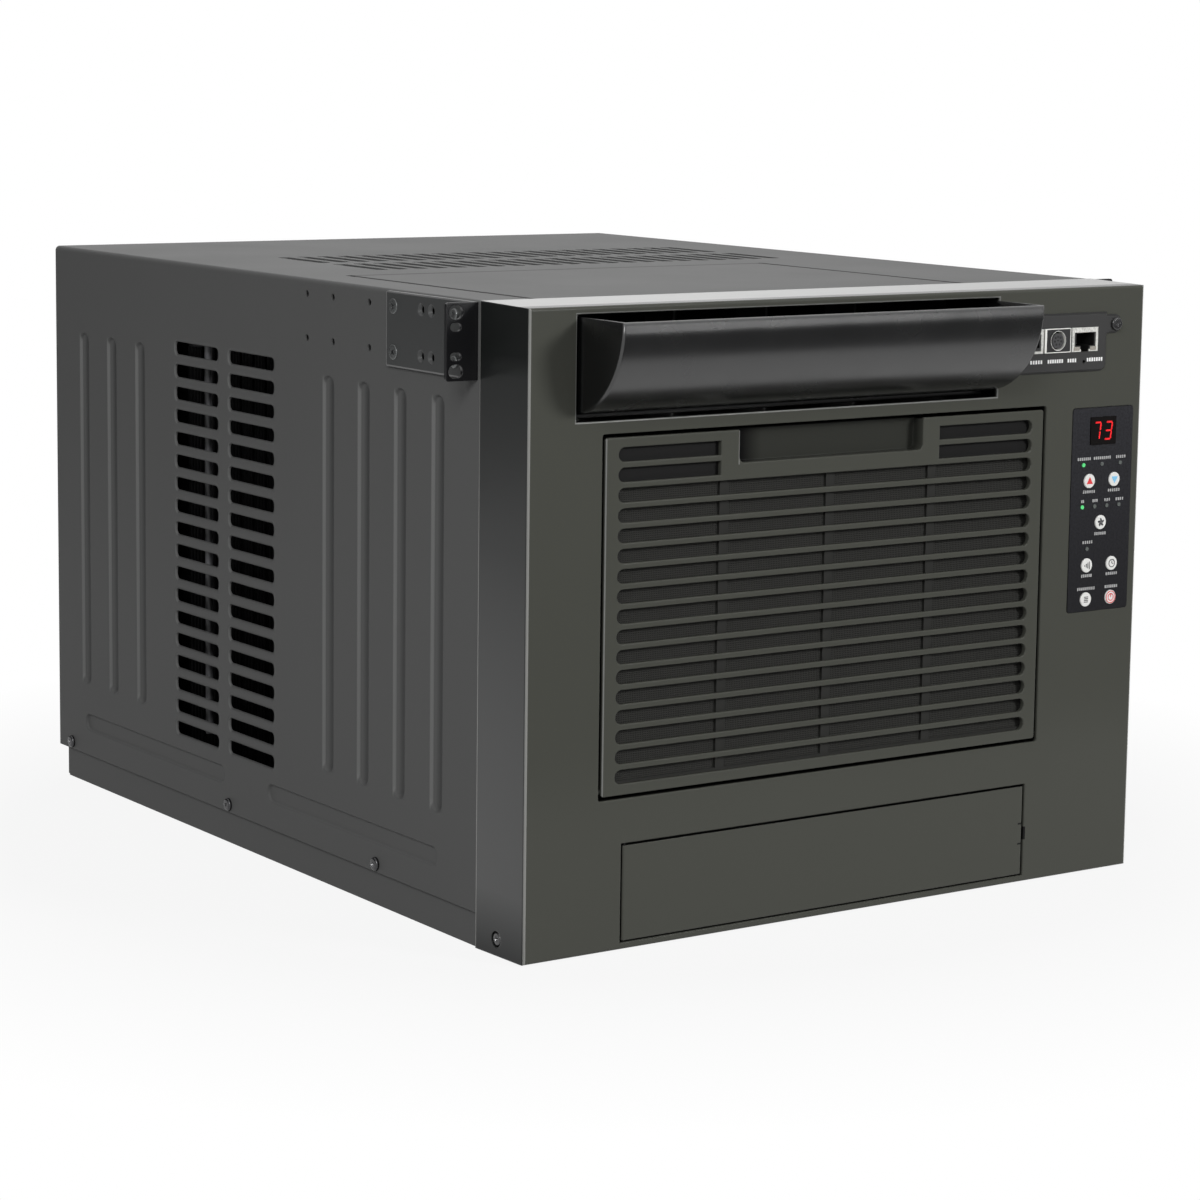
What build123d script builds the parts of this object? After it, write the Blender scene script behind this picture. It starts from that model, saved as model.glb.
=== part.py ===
# Rack-mounted air conditioner, eight rack units high.
# A folded steel wrap closes a base pan. A moulded bezel at the front carries a turning air hood,
# a tilting intake grille, a service door, a control panel and a network card.
# Millimetres. X is to the right, Y runs from front to back, Z is up.
# The origin is on the ground, under the middle of the whole unit.
import os

from build123d import *

os.makedirs("parts", exist_ok=True)

# Body
BODY_W = 437.0
BODY_H = 355.0
BODY_D = 575.0
SHEET = 1.5
FIT = 0.2
BEND_R = 3.0

# Front bezel
BEZEL_D = 48.0
BEZEL_WALL = 3.0
BEZEL_DRAFT = 0.9
BEZEL_EDGE_R = 1.6
BEZEL_RIM_R = 0.6
COLLAR_T = 2.5
SIDE_SCREW_Y = 26.9
SIDE_SCREW_Z = 9.7
SIDE_SCREW_R = 2.2
SIDE_SCREW_SINK_R = 4.5
SIDE_SCREW_SINK = 1.6

# Air hood: a quarter drum that turns in its opening
OPENING_LEFT = 30.5
OPENING_RIGHT = 113.5
OPENING_TOP = 5.0
OPENING_H = 57.5
HOOD_R = 50.5
HOOD_T = 2.5
HOOD_AXIS_BACK = 9.5
HOOD_AXIS_DOWN = 8.5
HOOD_NOSE = 2.0
HOOD_END_GAP = 1.5
HOOD_EDGE_R = 1.6
PIN_R = 1.4
PIN_FIT = 0.06
PIN_BITE = 1.6

# Intake grille and filter
GRILLE_LEFT = 47.7
GRILLE_RIGHT = 75.0
GRILLE_BOTTOM = 85.2
GRILLE_RAIL = 7.2
GRILLE_GAP = 2.1
GRILLE_T = 3.0
GRILLE_RIM_T = 2.0
GRILLE_RIM_D = 16.0
GRILLE_CORNER_R = 1.5
GRILLE_EDGE_R = 0.6
GRILLE_PIN_IN = 3.0
ROW_PITCH = 11.03
ROW_H = 7.8
ROW_EDGE = 9.4
ROW_END = 8.6
ROW_BEVEL = 0.4
PULL_FROM_LEFT = 89.0
PULL_W = 130.0
PULL_H = 18.3
PULL_D = 9.0
PULL_WALL = 1.8
PULL_R = 3.5
PULL_LIP_R = 1.2
PULL_MARGIN = 12.6
FILTER_FRAME = 5.0
FILTER_HEAD = 24.5
FILTER_T = 2.2
FILTER_MESH_T = 0.8
FILTER_BARS = 3
FILTER_BAR_W = 6.0
FILTER_GAP = 0.4

# Service door and the recess behind it
DOOR_LEFT = 63.2
DOOR_RIGHT = 83.0
DOOR_BOTTOM = 4.7
DOOR_H = 55.5
DOOR_GAP = 1.1
DOOR_T = 3.0
DOOR_EDGE_R = 1.4
DOOR_RIM_D = 4.0
DOOR_RIM_T = 2.0
DOOR_RIM_IN = 6.0
DOOR_PIN_IN = 2.0
DOOR_PIN_R = 1.0
DOOR_COLLAR_D = 12.0
TAB_PITCH = 12.6
TAB_W = 5.0
TAB_T = 1.6
TAB_REACH = 0.7
RECESS_D = 34.0
RECESS_WALL = 1.5

# Control panel
PANEL_RIGHT = 6.4
PANEL_TOP = 72.5
PANEL_W = 47.7
PANEL_H = 122.0
PANEL_T = 2.0
PANEL_SINK = 1.6
PANEL_CORNER_R = 2.0
DISPLAY_W = 20.1
DISPLAY_H = 16.6
DISPLAY_T = 0.6
DISPLAY_DOWN = 13.8
BUTTON_R = 4.25
BUTTON_T = 0.9
BUTTON_EDGE_R = 0.4
BUTTON_HALF_PITCH = 9.9
BUTTON_PAIR_DOWNS = (43.5, 94.2, 114.7)
BUTTON_MIDDLE_DOWN = 68.8
LAMP_R = 1.2
LAMP_T = 0.5
LAMP_ROW_DOWN = 33.8
LAMP_ROW_PITCH = 14.6
LAMP_BAR_DOWN = 59.0
LAMP_BAR_PITCH = 9.75
LAMP_QUIET_DOWN = 84.2

# Network card
CARD_LEFT_GAP = 7.0
CARD_RIGHT = 30.4
CARD_TOP = 15.6
CARD_H = 34.8
CARD_T = 2.0
CARD_BEVEL = 1.3
CARD_CORNER_R = 4.5
CARD_NECK_R = 1.6
CARD_EAR_OUT = 6.3
CARD_EAR_DOWN = 7.2
CARD_EAR_R = 5.6
CARD_SCREW_R = 1.6
JACK_W = 20.2
JACK_H = 14.2
JACK_D = 15.0
JACK_PROUD = 0.6
JACK_PITCH = 21.3
JACK_DOWN = 15.7
JACK_FROM_RIGHT = 18.3
SOCKET_TOP = 2.9
SOCKET_W = 14.2
SOCKET_H = 7.9
SOCKET_D = 12.0
SOCKET_KEY_W = 6.5
ROUND_SOCKET_R = 5.6
ROUND_SOCKET_D = 9.0
ROUND_SOCKET_CORE_R = 4.4
ROUND_RING_W = 0.8
ROUND_RING_PROUD = 0.4
CARD_PIPE_R = 1.0

# Cabinet wrap: slots, pressed ribs and the line pressed in the top
WRAP_BOTTOM = 19.7
SLOT_L = 57.0
SLOT_H = 8.0
SLOT_R = 3.0
SLOT_PITCH = 14.12
SLOT_COL_PITCH = 70.5
SIDE_SLOTS_Y = 339.9
SIDE_SLOTS_BOTTOM = 61.3
SIDE_SLOTS_TOP = 53.0
TOP_SLOTS_Y = 346.8
TOP_SLOTS_LEFT = 79.3
TOP_SLOTS_RIGHT = 61.0
RIB_W = 13.0
RIB_DEPTH = 1.6
RIB_TAPER = 35.0
RIB_PITCH = 40.3
RIB_BOTTOM = 67.5
RIB_TOP = 54.3
RIB_FROM_SLOTS = 65.0
RIB_FROM_REAR = 42.3
RIB_FROM_BEZEL = 30.0
FOOT_RIB_Z = 42.0
FOOT_RIB_H = 11.3
FOOT_RIB_END = 40.0
FOOT_RIB_GAP = 53.8
WRAP_SCREWS_Y = (155.5, 334.0)
WRAP_SCREW_FROM_REAR = 19.1
WRAP_SCREW_Z = 24.6
WRAP_SCREW_R = 1.8
SPARE_HOLES_Y = (165.0, 206.1, 236.3)
SPARE_HOLE_R = 2.0
TOP_LINE_LEFT = 31.5
TOP_LINE_RIGHT = 100.0
TOP_LINE_BACK = 247.0
TOP_LINE_W = 4.0
TOP_LINE_D = 0.7

# Base pan and rear panel
PAN_H = 32.0
PAN_SHORT = 11.0
PAN_BEAD_W = 16.0
PAN_BEAD_H = 1.0
PAN_BEAD_PITCH = 110.0
PAN_BEAD_COUNT = 3
PAN_BEAD_END = 20.0
REAR_FLOOR_GAP = 1.0
EXHAUST_W = 300.0
EXHAUST_TOP = 47.0
EXHAUST_BOTTOM = 72.0
EXHAUST_R = 10.0
GUARD_LAP = 8.0
GUARD_T = 1.5
GUARD_BAR = 3.0
GUARD_PITCH = 15.0
GUARD_POSTS = 4
GLAND_R = 9.0
GLAND_HOLE_R = 4.5
GLAND_NUT_R = 12.0
GLAND_NUT_T = 4.0
GLAND_OUT = 8.0
GLAND_IN = 10.0
GLAND_FROM_SIDE = 42.0
GLAND_Z = 52.0

# Inside: what shows through the slots and the openings
BULKHEAD_Y = 258.0
BULKHEAD_FLANGE = 10.0
DUCT_T = 2.0
DUCT_DROP = 0.6
VANE_COUNT = 4
VANE_T = 1.5
VANE_D = 28.0
VANE_BACK = 24.0
VANE_ROD_R = 1.5
EVAPORATOR_D = 42.0
EVAPORATOR_GAP = 1.5
END_PLATE_T = 1.5
FIN_PITCH = 9.0
FIN_GROOVE = 2.0
FIN_GROOVE_D = 2.5
CONDENSER_D = 34.0
CONDENSER_SIDE_GAP = 14.6
CONDENSER_FROM_REAR = 152.0
COIL_HEAD_GAP = 9.0
COIL_FOOT_GAP = 1.0
COMPRESSOR_R = 52.0
COMPRESSOR_H = 212.0
COMPRESSOR_FROM_SIDE = 122.0
COMPRESSOR_DOME = 22.0
COMPRESSOR_FOOT_H = 16.0
COMPRESSOR_FOOT_OUT = 59.0
COMPRESSOR_FOOT_R = 11.0
COMPRESSOR_BASE_T = 3.0
SHROUD_FROM_REAR = 100.0
SHROUD_T = 1.5
SHROUD_RING_D = 26.0
SHROUD_RING_T = 2.0
FAN_R = 112.0
FAN_TIP_GAP = 4.0
FAN_HUB_R = 30.0
FAN_HUB_D = 26.0
FAN_BLADES = 5
FAN_BLADE_T = 2.0
FAN_BLADE_TILT = 35.0
FAN_BLADE_TWIST = 20.0
FAN_BLADE_ROOT = 34.0
FAN_BLADE_TIP = 58.0
FAN_BLADE_CAMBER = 5.0
MOTOR_R = 42.0
MOTOR_D = 44.0
MOTOR_ARM_W = 14.0
MOTOR_ARM_T = 3.0
MOTOR_ARM_LAP = 12.0
MOTOR_EDGE_R = 4.0
SHAFT_SHORT = 2.0
SHAFT_R = 4.0
SHAFT_FIT = 0.05

# Rack ears
EAR_BACK = 143.0
EAR_FRONT_GAP = 1.8
EAR_TOP = 0.8
EAR_H = 42.0
EAR_T = 2.0
EAR_HOLE_OUT = 14.05
EAR_EDGE = 6.0
EAR_HOLE_PITCH = 31.75
EAR_HOLE_L = 9.0
EAR_HOLE_H = 7.6
EAR_SLOT_PITCH = 15.875
EAR_SLOT_L = 7.0
EAR_SLOT_H = 4.6
EAR_SCREW_FROM_BACK = 8.1
EAR_SCREW_PITCH = 25.6
EAR_SCREW_R = 1.8
EAR_SINK_R = 3.6
EAR_SPARE_FROM_BACK = (37.4, 48.2)
EAR_CORNER_R = 1.5

# Places that follow from the sizes above
HOOD_REACH = HOOD_R - HOOD_AXIS_BACK
FRONT = -(BODY_D - HOOD_REACH) / 2
REAR = FRONT + BODY_D
BEZEL_REAR = FRONT + BEZEL_D
SIDE = BODY_W / 2
SIDE_IN = SIDE - SHEET
TOP_IN = BODY_H - SHEET
PAN_REAR = REAR - PAN_SHORT

opening_x0 = -SIDE + OPENING_LEFT
opening_x1 = SIDE - OPENING_RIGHT
opening_z1 = BODY_H - OPENING_TOP
opening_z0 = opening_z1 - OPENING_H
hood_axis_y = FRONT + HOOD_AXIS_BACK
hood_axis_z = BODY_H - HOOD_AXIS_DOWN
hood_x0 = opening_x0 + HOOD_END_GAP
hood_x1 = opening_x1 - HOOD_END_GAP

recess_x0 = -SIDE + GRILLE_LEFT
recess_x1 = SIDE - GRILLE_RIGHT
recess_z0 = GRILLE_BOTTOM
recess_z1 = opening_z0 - GRILLE_RAIL
grille_x0 = recess_x0 + GRILLE_GAP
grille_x1 = recess_x1 - GRILLE_GAP
grille_z0 = recess_z0 + GRILLE_GAP
grille_z1 = recess_z1 - GRILLE_GAP
grille_w = grille_x1 - grille_x0
grille_h = grille_z1 - grille_z0
grille_mid = ((grille_x0 + grille_x1) / 2, (grille_z0 + grille_z1) / 2)
grille_axis_y = FRONT + GRILLE_PIN_IN
grille_axis_z = grille_z0 + GRILLE_PIN_IN

door_hole_x0 = -SIDE + DOOR_LEFT
door_hole_x1 = SIDE - DOOR_RIGHT
door_hole_z0 = DOOR_BOTTOM
door_hole_z1 = DOOR_BOTTOM + DOOR_H
door_x0 = door_hole_x0 + DOOR_GAP
door_x1 = door_hole_x1 - DOOR_GAP
door_z0 = door_hole_z0 + DOOR_GAP
door_z1 = door_hole_z1 - DOOR_GAP
door_hole_mid = ((door_hole_x0 + door_hole_x1) / 2, (door_hole_z0 + door_hole_z1) / 2)
door_axis_x = door_x0 + DOOR_PIN_IN
door_axis_y = FRONT + DOOR_PIN_IN

panel_x = SIDE - PANEL_RIGHT - PANEL_W / 2
panel_z1 = BODY_H - PANEL_TOP
panel_face = FRONT + PANEL_SINK - PANEL_T

card_x0 = opening_x1 + CARD_LEFT_GAP
card_x1 = SIDE - CARD_RIGHT
card_z1 = BODY_H - CARD_TOP
card_z0 = card_z1 - CARD_H
jack_z = card_z1 - JACK_DOWN
network_x = card_x1 - JACK_FROM_RIGHT
config_x = network_x - JACK_PITCH
sensor_x = config_x - JACK_PITCH
jack_face = FRONT - CARD_T - JACK_PROUD


def front_plane(back=0.0):
    """Sketch plane facing the viewer, a distance behind the bezel's front face."""
    return Plane.XZ.offset(-(FRONT + back))


def span(low, high):
    """Middle and length of a stretch."""
    return (low + high) / 2, high - low


# Base pan: a folded steel tray with beads pressed up in its floor, ahead of the bulkhead
pan_y, pan_d = span(BEZEL_REAR, PAN_REAR)
bulkhead_y = FRONT + BULKHEAD_Y
bead_y, bead_l = span(BEZEL_REAR + PAN_BEAD_END, bulkhead_y - PAN_BEAD_END)
with BuildPart() as base_pan:
    with BuildSketch():
        with Locations((0, pan_y)):
            Rectangle(2 * (SIDE_IN - FIT), pan_d)
    extrude(amount=PAN_H)
    offset(amount=-SHEET, openings=base_pan.faces().sort_by(Axis.Z)[-1])
    with BuildSketch(Plane.XY.offset(SHEET)):
        with Locations((0, bead_y)):
            with GridLocations(PAN_BEAD_PITCH, 0, PAN_BEAD_COUNT, 1):
                SlotOverall(bead_l, PAN_BEAD_W, rotation=90)
    extrude(amount=PAN_BEAD_H)
    with BuildSketch():
        with Locations((0, bead_y)):
            with GridLocations(PAN_BEAD_PITCH, 0, PAN_BEAD_COUNT, 1):
                SlotOverall(bead_l - 2 * SHEET, PAN_BEAD_W - 2 * SHEET, rotation=90)
    extrude(amount=PAN_BEAD_H, mode=Mode.SUBTRACT)
    with BuildSketch(Plane.YZ):
        with Locations(*[(FRONT + y, WRAP_SCREW_Z) for y in WRAP_SCREWS_Y]):
            Circle(WRAP_SCREW_R)
        with Locations((REAR - WRAP_SCREW_FROM_REAR, WRAP_SCREW_Z)):
            Circle(WRAP_SCREW_R)
    extrude(amount=BODY_W, both=True, mode=Mode.SUBTRACT)
base_pan.part.label = "base_pan"
export_step(base_pan.part, "parts/base_pan.step")

# Cabinet wrap: one sheet folded over the top and down both sides
side_rows = int((BODY_H - SIDE_SLOTS_TOP - SIDE_SLOTS_BOTTOM) / SLOT_PITCH) + 1
side_slots_z = SIDE_SLOTS_BOTTOM + (side_rows - 1) * SLOT_PITCH / 2
top_slots_x0 = -SIDE + TOP_SLOTS_LEFT
top_columns = int((BODY_W - TOP_SLOTS_LEFT - TOP_SLOTS_RIGHT) / SLOT_PITCH) + 1
top_slots_x = top_slots_x0 + (top_columns - 1) * SLOT_PITCH / 2
slots_front = SIDE_SLOTS_Y - SLOT_COL_PITCH / 2 - SLOT_L / 2
slots_back = SIDE_SLOTS_Y + SLOT_COL_PITCH / 2 + SLOT_L / 2
front_ribs = int((slots_front - RIB_FROM_SLOTS - BEZEL_D - RIB_FROM_BEZEL) / RIB_PITCH) + 1
rear_ribs = int((BODY_D - RIB_FROM_REAR - slots_back - RIB_PITCH / 2) / RIB_PITCH) + 1
rib_places = [slots_front - RIB_FROM_SLOTS - i * RIB_PITCH for i in range(front_ribs)]
rib_places += [BODY_D - RIB_FROM_REAR - i * RIB_PITCH for i in range(rear_ribs)]
rib_z, rib_l = span(RIB_BOTTOM, BODY_H - RIB_TOP)
foot_mid = (BEZEL_D + BODY_D) / 2
foot_ribs = [
    span(BEZEL_D + FOOT_RIB_END, foot_mid - FOOT_RIB_GAP / 2),
    span(foot_mid + FOOT_RIB_GAP / 2, BODY_D - FOOT_RIB_END),
]


def rib_sketch(x, grow):
    """Outlines of the pressed ribs of one side, grown by the sheet on the inside."""
    with BuildSketch(Plane.YZ.offset(x)) as outlines:
        with Locations(*[(FRONT + y, rib_z) for y in rib_places]):
            SlotOverall(rib_l + grow, RIB_W + grow, rotation=90)
        for y, length in foot_ribs:
            with Locations((FRONT + y, FOOT_RIB_Z)):
                SlotOverall(length + grow, FOOT_RIB_H + grow)
    return outlines.sketch


ear_z = BODY_H - EAR_TOP - EAR_H / 2
with BuildPart() as cabinet_wrap:
    with BuildSketch(Plane.XZ.offset(-REAR)) as wrap_outside:
        with Locations((0, (WRAP_BOTTOM + BODY_H) / 2)):
            Rectangle(BODY_W, BODY_H - WRAP_BOTTOM)
        fillet(wrap_outside.vertices().group_by(Axis.Y)[-1], BEND_R)
    extrude(amount=BODY_D - BEZEL_D)
    with BuildSketch(Plane.XZ.offset(-REAR)) as wrap_inside:
        with Locations((0, (WRAP_BOTTOM + TOP_IN) / 2)):
            Rectangle(2 * SIDE_IN, TOP_IN - WRAP_BOTTOM)
        fillet(wrap_inside.vertices().group_by(Axis.Y)[-1], BEND_R - SHEET)
    extrude(amount=BODY_D - BEZEL_D, mode=Mode.SUBTRACT)
    for side in (-1, 1):
        extrude(rib_sketch(side * SIDE_IN, 2 * SHEET), amount=-side * RIB_DEPTH)
        extrude(rib_sketch(side * SIDE, 0), amount=-side * RIB_DEPTH, taper=RIB_TAPER, mode=Mode.SUBTRACT)
    with BuildSketch(Plane.YZ):
        with Locations((FRONT + SIDE_SLOTS_Y, side_slots_z)):
            with GridLocations(SLOT_COL_PITCH, SLOT_PITCH, 2, side_rows):
                RectangleRounded(SLOT_L, SLOT_H, SLOT_R)
        with Locations(*[(FRONT + y, WRAP_SCREW_Z) for y in WRAP_SCREWS_Y]):
            Circle(WRAP_SCREW_R)
        with Locations((REAR - WRAP_SCREW_FROM_REAR, WRAP_SCREW_Z)):
            Circle(WRAP_SCREW_R)
        with Locations(*[(FRONT + y, ear_z) for y in SPARE_HOLES_Y]):
            with GridLocations(0, EAR_SCREW_PITCH, 1, 2):
                Circle(SPARE_HOLE_R)
        for back in (EAR_SCREW_FROM_BACK, *EAR_SPARE_FROM_BACK):
            with Locations((FRONT + EAR_BACK - back, ear_z)):
                with GridLocations(0, EAR_SCREW_PITCH, 1, 2):
                    Circle(EAR_SCREW_R)
    extrude(amount=BODY_W, both=True, mode=Mode.SUBTRACT)
    with BuildSketch(Plane.XY.offset(BODY_H)):
        with Locations((top_slots_x, FRONT + TOP_SLOTS_Y)):
            with GridLocations(SLOT_PITCH, SLOT_COL_PITCH, top_columns, 2):
                RectangleRounded(SLOT_H, SLOT_L, SLOT_R)
    extrude(amount=-2 * SHEET, mode=Mode.SUBTRACT)
    line_x, line_w = span(-SIDE + TOP_LINE_LEFT, SIDE - TOP_LINE_RIGHT)
    with BuildSketch(Plane.XY.offset(BODY_H)):
        with Locations((line_x, FRONT + TOP_LINE_BACK)):
            Rectangle(line_w, 2 * (TOP_LINE_BACK - BEZEL_D), align=(Align.CENTER, Align.MAX))
            Rectangle(
                line_w - 2 * TOP_LINE_W,
                2 * (TOP_LINE_BACK - BEZEL_D) - TOP_LINE_W,
                align=(Align.CENTER, Align.MAX),
                mode=Mode.SUBTRACT,
            )
    extrude(amount=-TOP_LINE_D, mode=Mode.SUBTRACT)
cabinet_wrap.part.label = "cabinet_wrap"
export_step(cabinet_wrap.part, "parts/cabinet_wrap.step")

# Rear panel: a flat sheet set inside the wrap, behind the pan, with the exhaust opening
exhaust_z, exhaust_h = span(EXHAUST_BOTTOM, BODY_H - EXHAUST_TOP)
rear_z, rear_h = span(REAR_FLOOR_GAP, TOP_IN - FIT)
gland_x = -SIDE + GLAND_FROM_SIDE
with BuildPart() as rear_panel:
    with BuildSketch(Plane.XZ.offset(-PAN_REAR)) as rear_outline:
        with Locations((0, rear_z)):
            Rectangle(2 * (SIDE_IN - FIT), rear_h)
        fillet(rear_outline.vertices().group_by(Axis.Y)[-1], BEND_R)
        with Locations((0, exhaust_z)):
            RectangleRounded(EXHAUST_W, exhaust_h, EXHAUST_R, mode=Mode.SUBTRACT)
        with Locations((gland_x, GLAND_Z)):
            Circle(GLAND_R, mode=Mode.SUBTRACT)
    extrude(amount=-SHEET)
rear_panel.part.label = "rear_panel"
export_step(rear_panel.part, "parts/rear_panel.step")

# Exhaust guard: a punched plate of bars over the exhaust opening
guard_w = EXHAUST_W + 2 * GUARD_LAP
guard_h = exhaust_h + 2 * GUARD_LAP
guard_rows = int((exhaust_h - GUARD_BAR) / GUARD_PITCH)
guard_window_w = (EXHAUST_W - (GUARD_POSTS - 1) * GUARD_BAR) / GUARD_POSTS
with BuildPart() as exhaust_guard:
    with BuildSketch(Plane.XZ.offset(-(PAN_REAR + SHEET))):
        with Locations((0, exhaust_z)):
            RectangleRounded(guard_w, guard_h, EXHAUST_R)
            with GridLocations(guard_window_w + GUARD_BAR, GUARD_PITCH, GUARD_POSTS, guard_rows):
                Rectangle(guard_window_w, GUARD_PITCH - GUARD_BAR, mode=Mode.SUBTRACT)
    extrude(amount=-GUARD_T)
exhaust_guard.part.label = "exhaust_guard"
export_step(exhaust_guard.part, "parts/exhaust_guard.step")

# Cord gland: the screwed bushing where the mains lead would pass through the rear panel
with BuildPart() as cord_gland:
    with BuildSketch(Plane.XZ.offset(-(PAN_REAR - GLAND_IN))):
        with Locations((gland_x, GLAND_Z)):
            Circle(GLAND_R - FIT)
    extrude(amount=-(GLAND_IN + SHEET + GLAND_OUT))
    with BuildSketch(Plane.XZ.offset(-(PAN_REAR + SHEET))):
        with Locations((gland_x, GLAND_Z)):
            RegularPolygon(GLAND_NUT_R, 6)
    extrude(amount=-GLAND_NUT_T)
    with BuildSketch(Plane.XZ.offset(-(PAN_REAR - GLAND_IN))):
        with Locations((gland_x, GLAND_Z)):
            Circle(GLAND_HOLE_R)
    extrude(amount=-(GLAND_IN + SHEET + GLAND_OUT), mode=Mode.SUBTRACT)
cord_gland.part.label = "cord_gland"
export_step(cord_gland.part, "parts/cord_gland.step")

# Bulkhead: the sheet that parts the cold front from the warm rear, with feet on the pan
bulk_z, bulk_h = span(SHEET, TOP_IN - FIT)
bulk_w = 2 * (SIDE_IN - SHEET - RIB_DEPTH - FIT)
with BuildPart() as bulkhead:
    with BuildSketch(Plane.XZ.offset(-bulkhead_y)):
        with Locations((0, bulk_z)):
            Rectangle(bulk_w, bulk_h)
    extrude(amount=-SHEET)
    with BuildSketch(Plane.XY.offset(SHEET)):
        with Locations((0, bulkhead_y)):
            Rectangle(bulk_w, BULKHEAD_FLANGE, align=(Align.CENTER, Align.MIN))
    extrude(amount=SHEET)
bulkhead.part.label = "bulkhead"
export_step(bulkhead.part, "parts/bulkhead.step")

# Compressor: a welded steel shell on a foot plate with rubber feet
condenser_front = REAR - CONDENSER_FROM_REAR
compressor_y = (bulkhead_y + SHEET + condenser_front) / 2
compressor_x = SIDE_IN - COMPRESSOR_FROM_SIDE
shell_z0 = SHEET + COMPRESSOR_FOOT_H
with BuildPart() as compressor:
    with BuildSketch(Plane.XY.offset(shell_z0)):
        with Locations((compressor_x, compressor_y)):
            Circle(COMPRESSOR_R)
    extrude(amount=COMPRESSOR_H)
    fillet(compressor.edges().sort_by(Axis.Z)[-1], COMPRESSOR_DOME)
    with BuildSketch(Plane.XY.offset(shell_z0 - COMPRESSOR_BASE_T)):
        with Locations((compressor_x, compressor_y)):
            with PolarLocations(COMPRESSOR_FOOT_OUT, 3):
                Circle(COMPRESSOR_FOOT_R)
        make_hull()
    extrude(amount=COMPRESSOR_BASE_T)
    with BuildSketch(Plane.XY.offset(SHEET)):
        with Locations((compressor_x, compressor_y)):
            with PolarLocations(COMPRESSOR_FOOT_OUT, 3):
                Circle(COMPRESSOR_FOOT_R)
    extrude(amount=COMPRESSOR_FOOT_H - COMPRESSOR_BASE_T)
compressor.part.label = "compressor"
export_step(compressor.part, "parts/compressor.step")


def coil_block(x0, x1, y0, depth, z0, z1, foot):
    """A finned heat exchanger: a grooved core between two end plates that stand on the pan."""
    mid_x, width = span(x0, x1)
    mid_z, height = span(z0, z1)
    grooves = int((width - 2 * END_PLATE_T) / FIN_PITCH)
    with BuildPart() as coil:
        with BuildSketch(Plane.XZ.offset(-y0)):
            with Locations((mid_x, mid_z)):
                Rectangle(width, height)
        extrude(amount=-depth)
        with BuildSketch(Plane.XZ.offset(-y0)):
            with Locations((mid_x, mid_z)):
                with GridLocations(FIN_PITCH, 0, grooves, 1):
                    Rectangle(FIN_GROOVE, height)
        extrude(amount=-FIN_GROOVE_D, mode=Mode.SUBTRACT)
        with BuildSketch(Plane.XZ.offset(-y0)):
            for x in (x0 - END_PLATE_T / 2, x1 + END_PLATE_T / 2):
                with Locations((x, (foot + z1) / 2)):
                    Rectangle(END_PLATE_T, z1 - foot)
        extrude(amount=-depth)
    return coil.part


# Evaporator behind the intake grille, and condenser ahead of the fan
evaporator_coil = coil_block(
    recess_x0, recess_x1, BEZEL_REAR + EVAPORATOR_GAP, EVAPORATOR_D, recess_z0, recess_z1, SHEET
)
evaporator_coil.label = "evaporator_coil"
export_step(evaporator_coil, "parts/evaporator_coil.step")

condenser_x = bulk_w / 2 - CONDENSER_SIDE_GAP - END_PLATE_T
condenser_coil = coil_block(
    -condenser_x,
    condenser_x,
    condenser_front,
    CONDENSER_D,
    SHEET + COIL_FOOT_GAP,
    TOP_IN - COIL_HEAD_GAP,
    SHEET,
)
condenser_coil.label = "condenser_coil"
export_step(condenser_coil, "parts/condenser_coil.step")

# Fan shroud: a sheet with a drawn ring round the fan
shroud_y = REAR - SHROUD_FROM_REAR
ring_r = FAN_R + FAN_TIP_GAP
with BuildPart() as fan_shroud:
    with BuildSketch(Plane.XZ.offset(-shroud_y)):
        with Locations((0, bulk_z)):
            Rectangle(bulk_w, bulk_h)
        with Locations((0, exhaust_z)):
            Circle(ring_r, mode=Mode.SUBTRACT)
    extrude(amount=-SHROUD_T)
    with BuildSketch(Plane.XZ.offset(-shroud_y)):
        with Locations((0, exhaust_z)):
            Circle(ring_r + SHROUD_RING_T)
            Circle(ring_r, mode=Mode.SUBTRACT)
    extrude(amount=-SHROUD_RING_D)
    with BuildSketch(Plane.XY.offset(SHEET)):
        with Locations((0, shroud_y)):
            Rectangle(bulk_w, BULKHEAD_FLANGE, align=(Align.CENTER, Align.MIN))
    extrude(amount=SHROUD_T)
fan_shroud.part.label = "fan_shroud"
export_step(fan_shroud.part, "parts/fan_shroud.step")

# Fan motor: a round body on a bar across the exhaust opening, with its shaft towards the front
motor_back = PAN_REAR - MOTOR_ARM_T
shaft_l = motor_back - MOTOR_D - shroud_y - SHAFT_SHORT
with BuildPart() as fan_motor:
    with BuildSketch(Plane.XZ.offset(-PAN_REAR)):
        with Locations((0, exhaust_z)):
            Rectangle(MOTOR_ARM_W, exhaust_h + 2 * MOTOR_ARM_LAP)
    extrude(amount=MOTOR_ARM_T)
    with BuildSketch(Plane.XZ.offset(-motor_back)):
        with Locations((0, exhaust_z)):
            Circle(MOTOR_R)
    extrude(amount=MOTOR_D)
    fillet(fan_motor.edges().filter_by(GeomType.CIRCLE).sort_by(Axis.Y)[0], MOTOR_EDGE_R)
    with BuildSketch(Plane.XZ.offset(-(motor_back - MOTOR_D))):
        with Locations((0, exhaust_z)):
            Circle(SHAFT_R)
    extrude(amount=shaft_l)
fan_motor.part.label = "fan_motor"
export_step(fan_motor.part, "parts/fan_motor.step")


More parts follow.
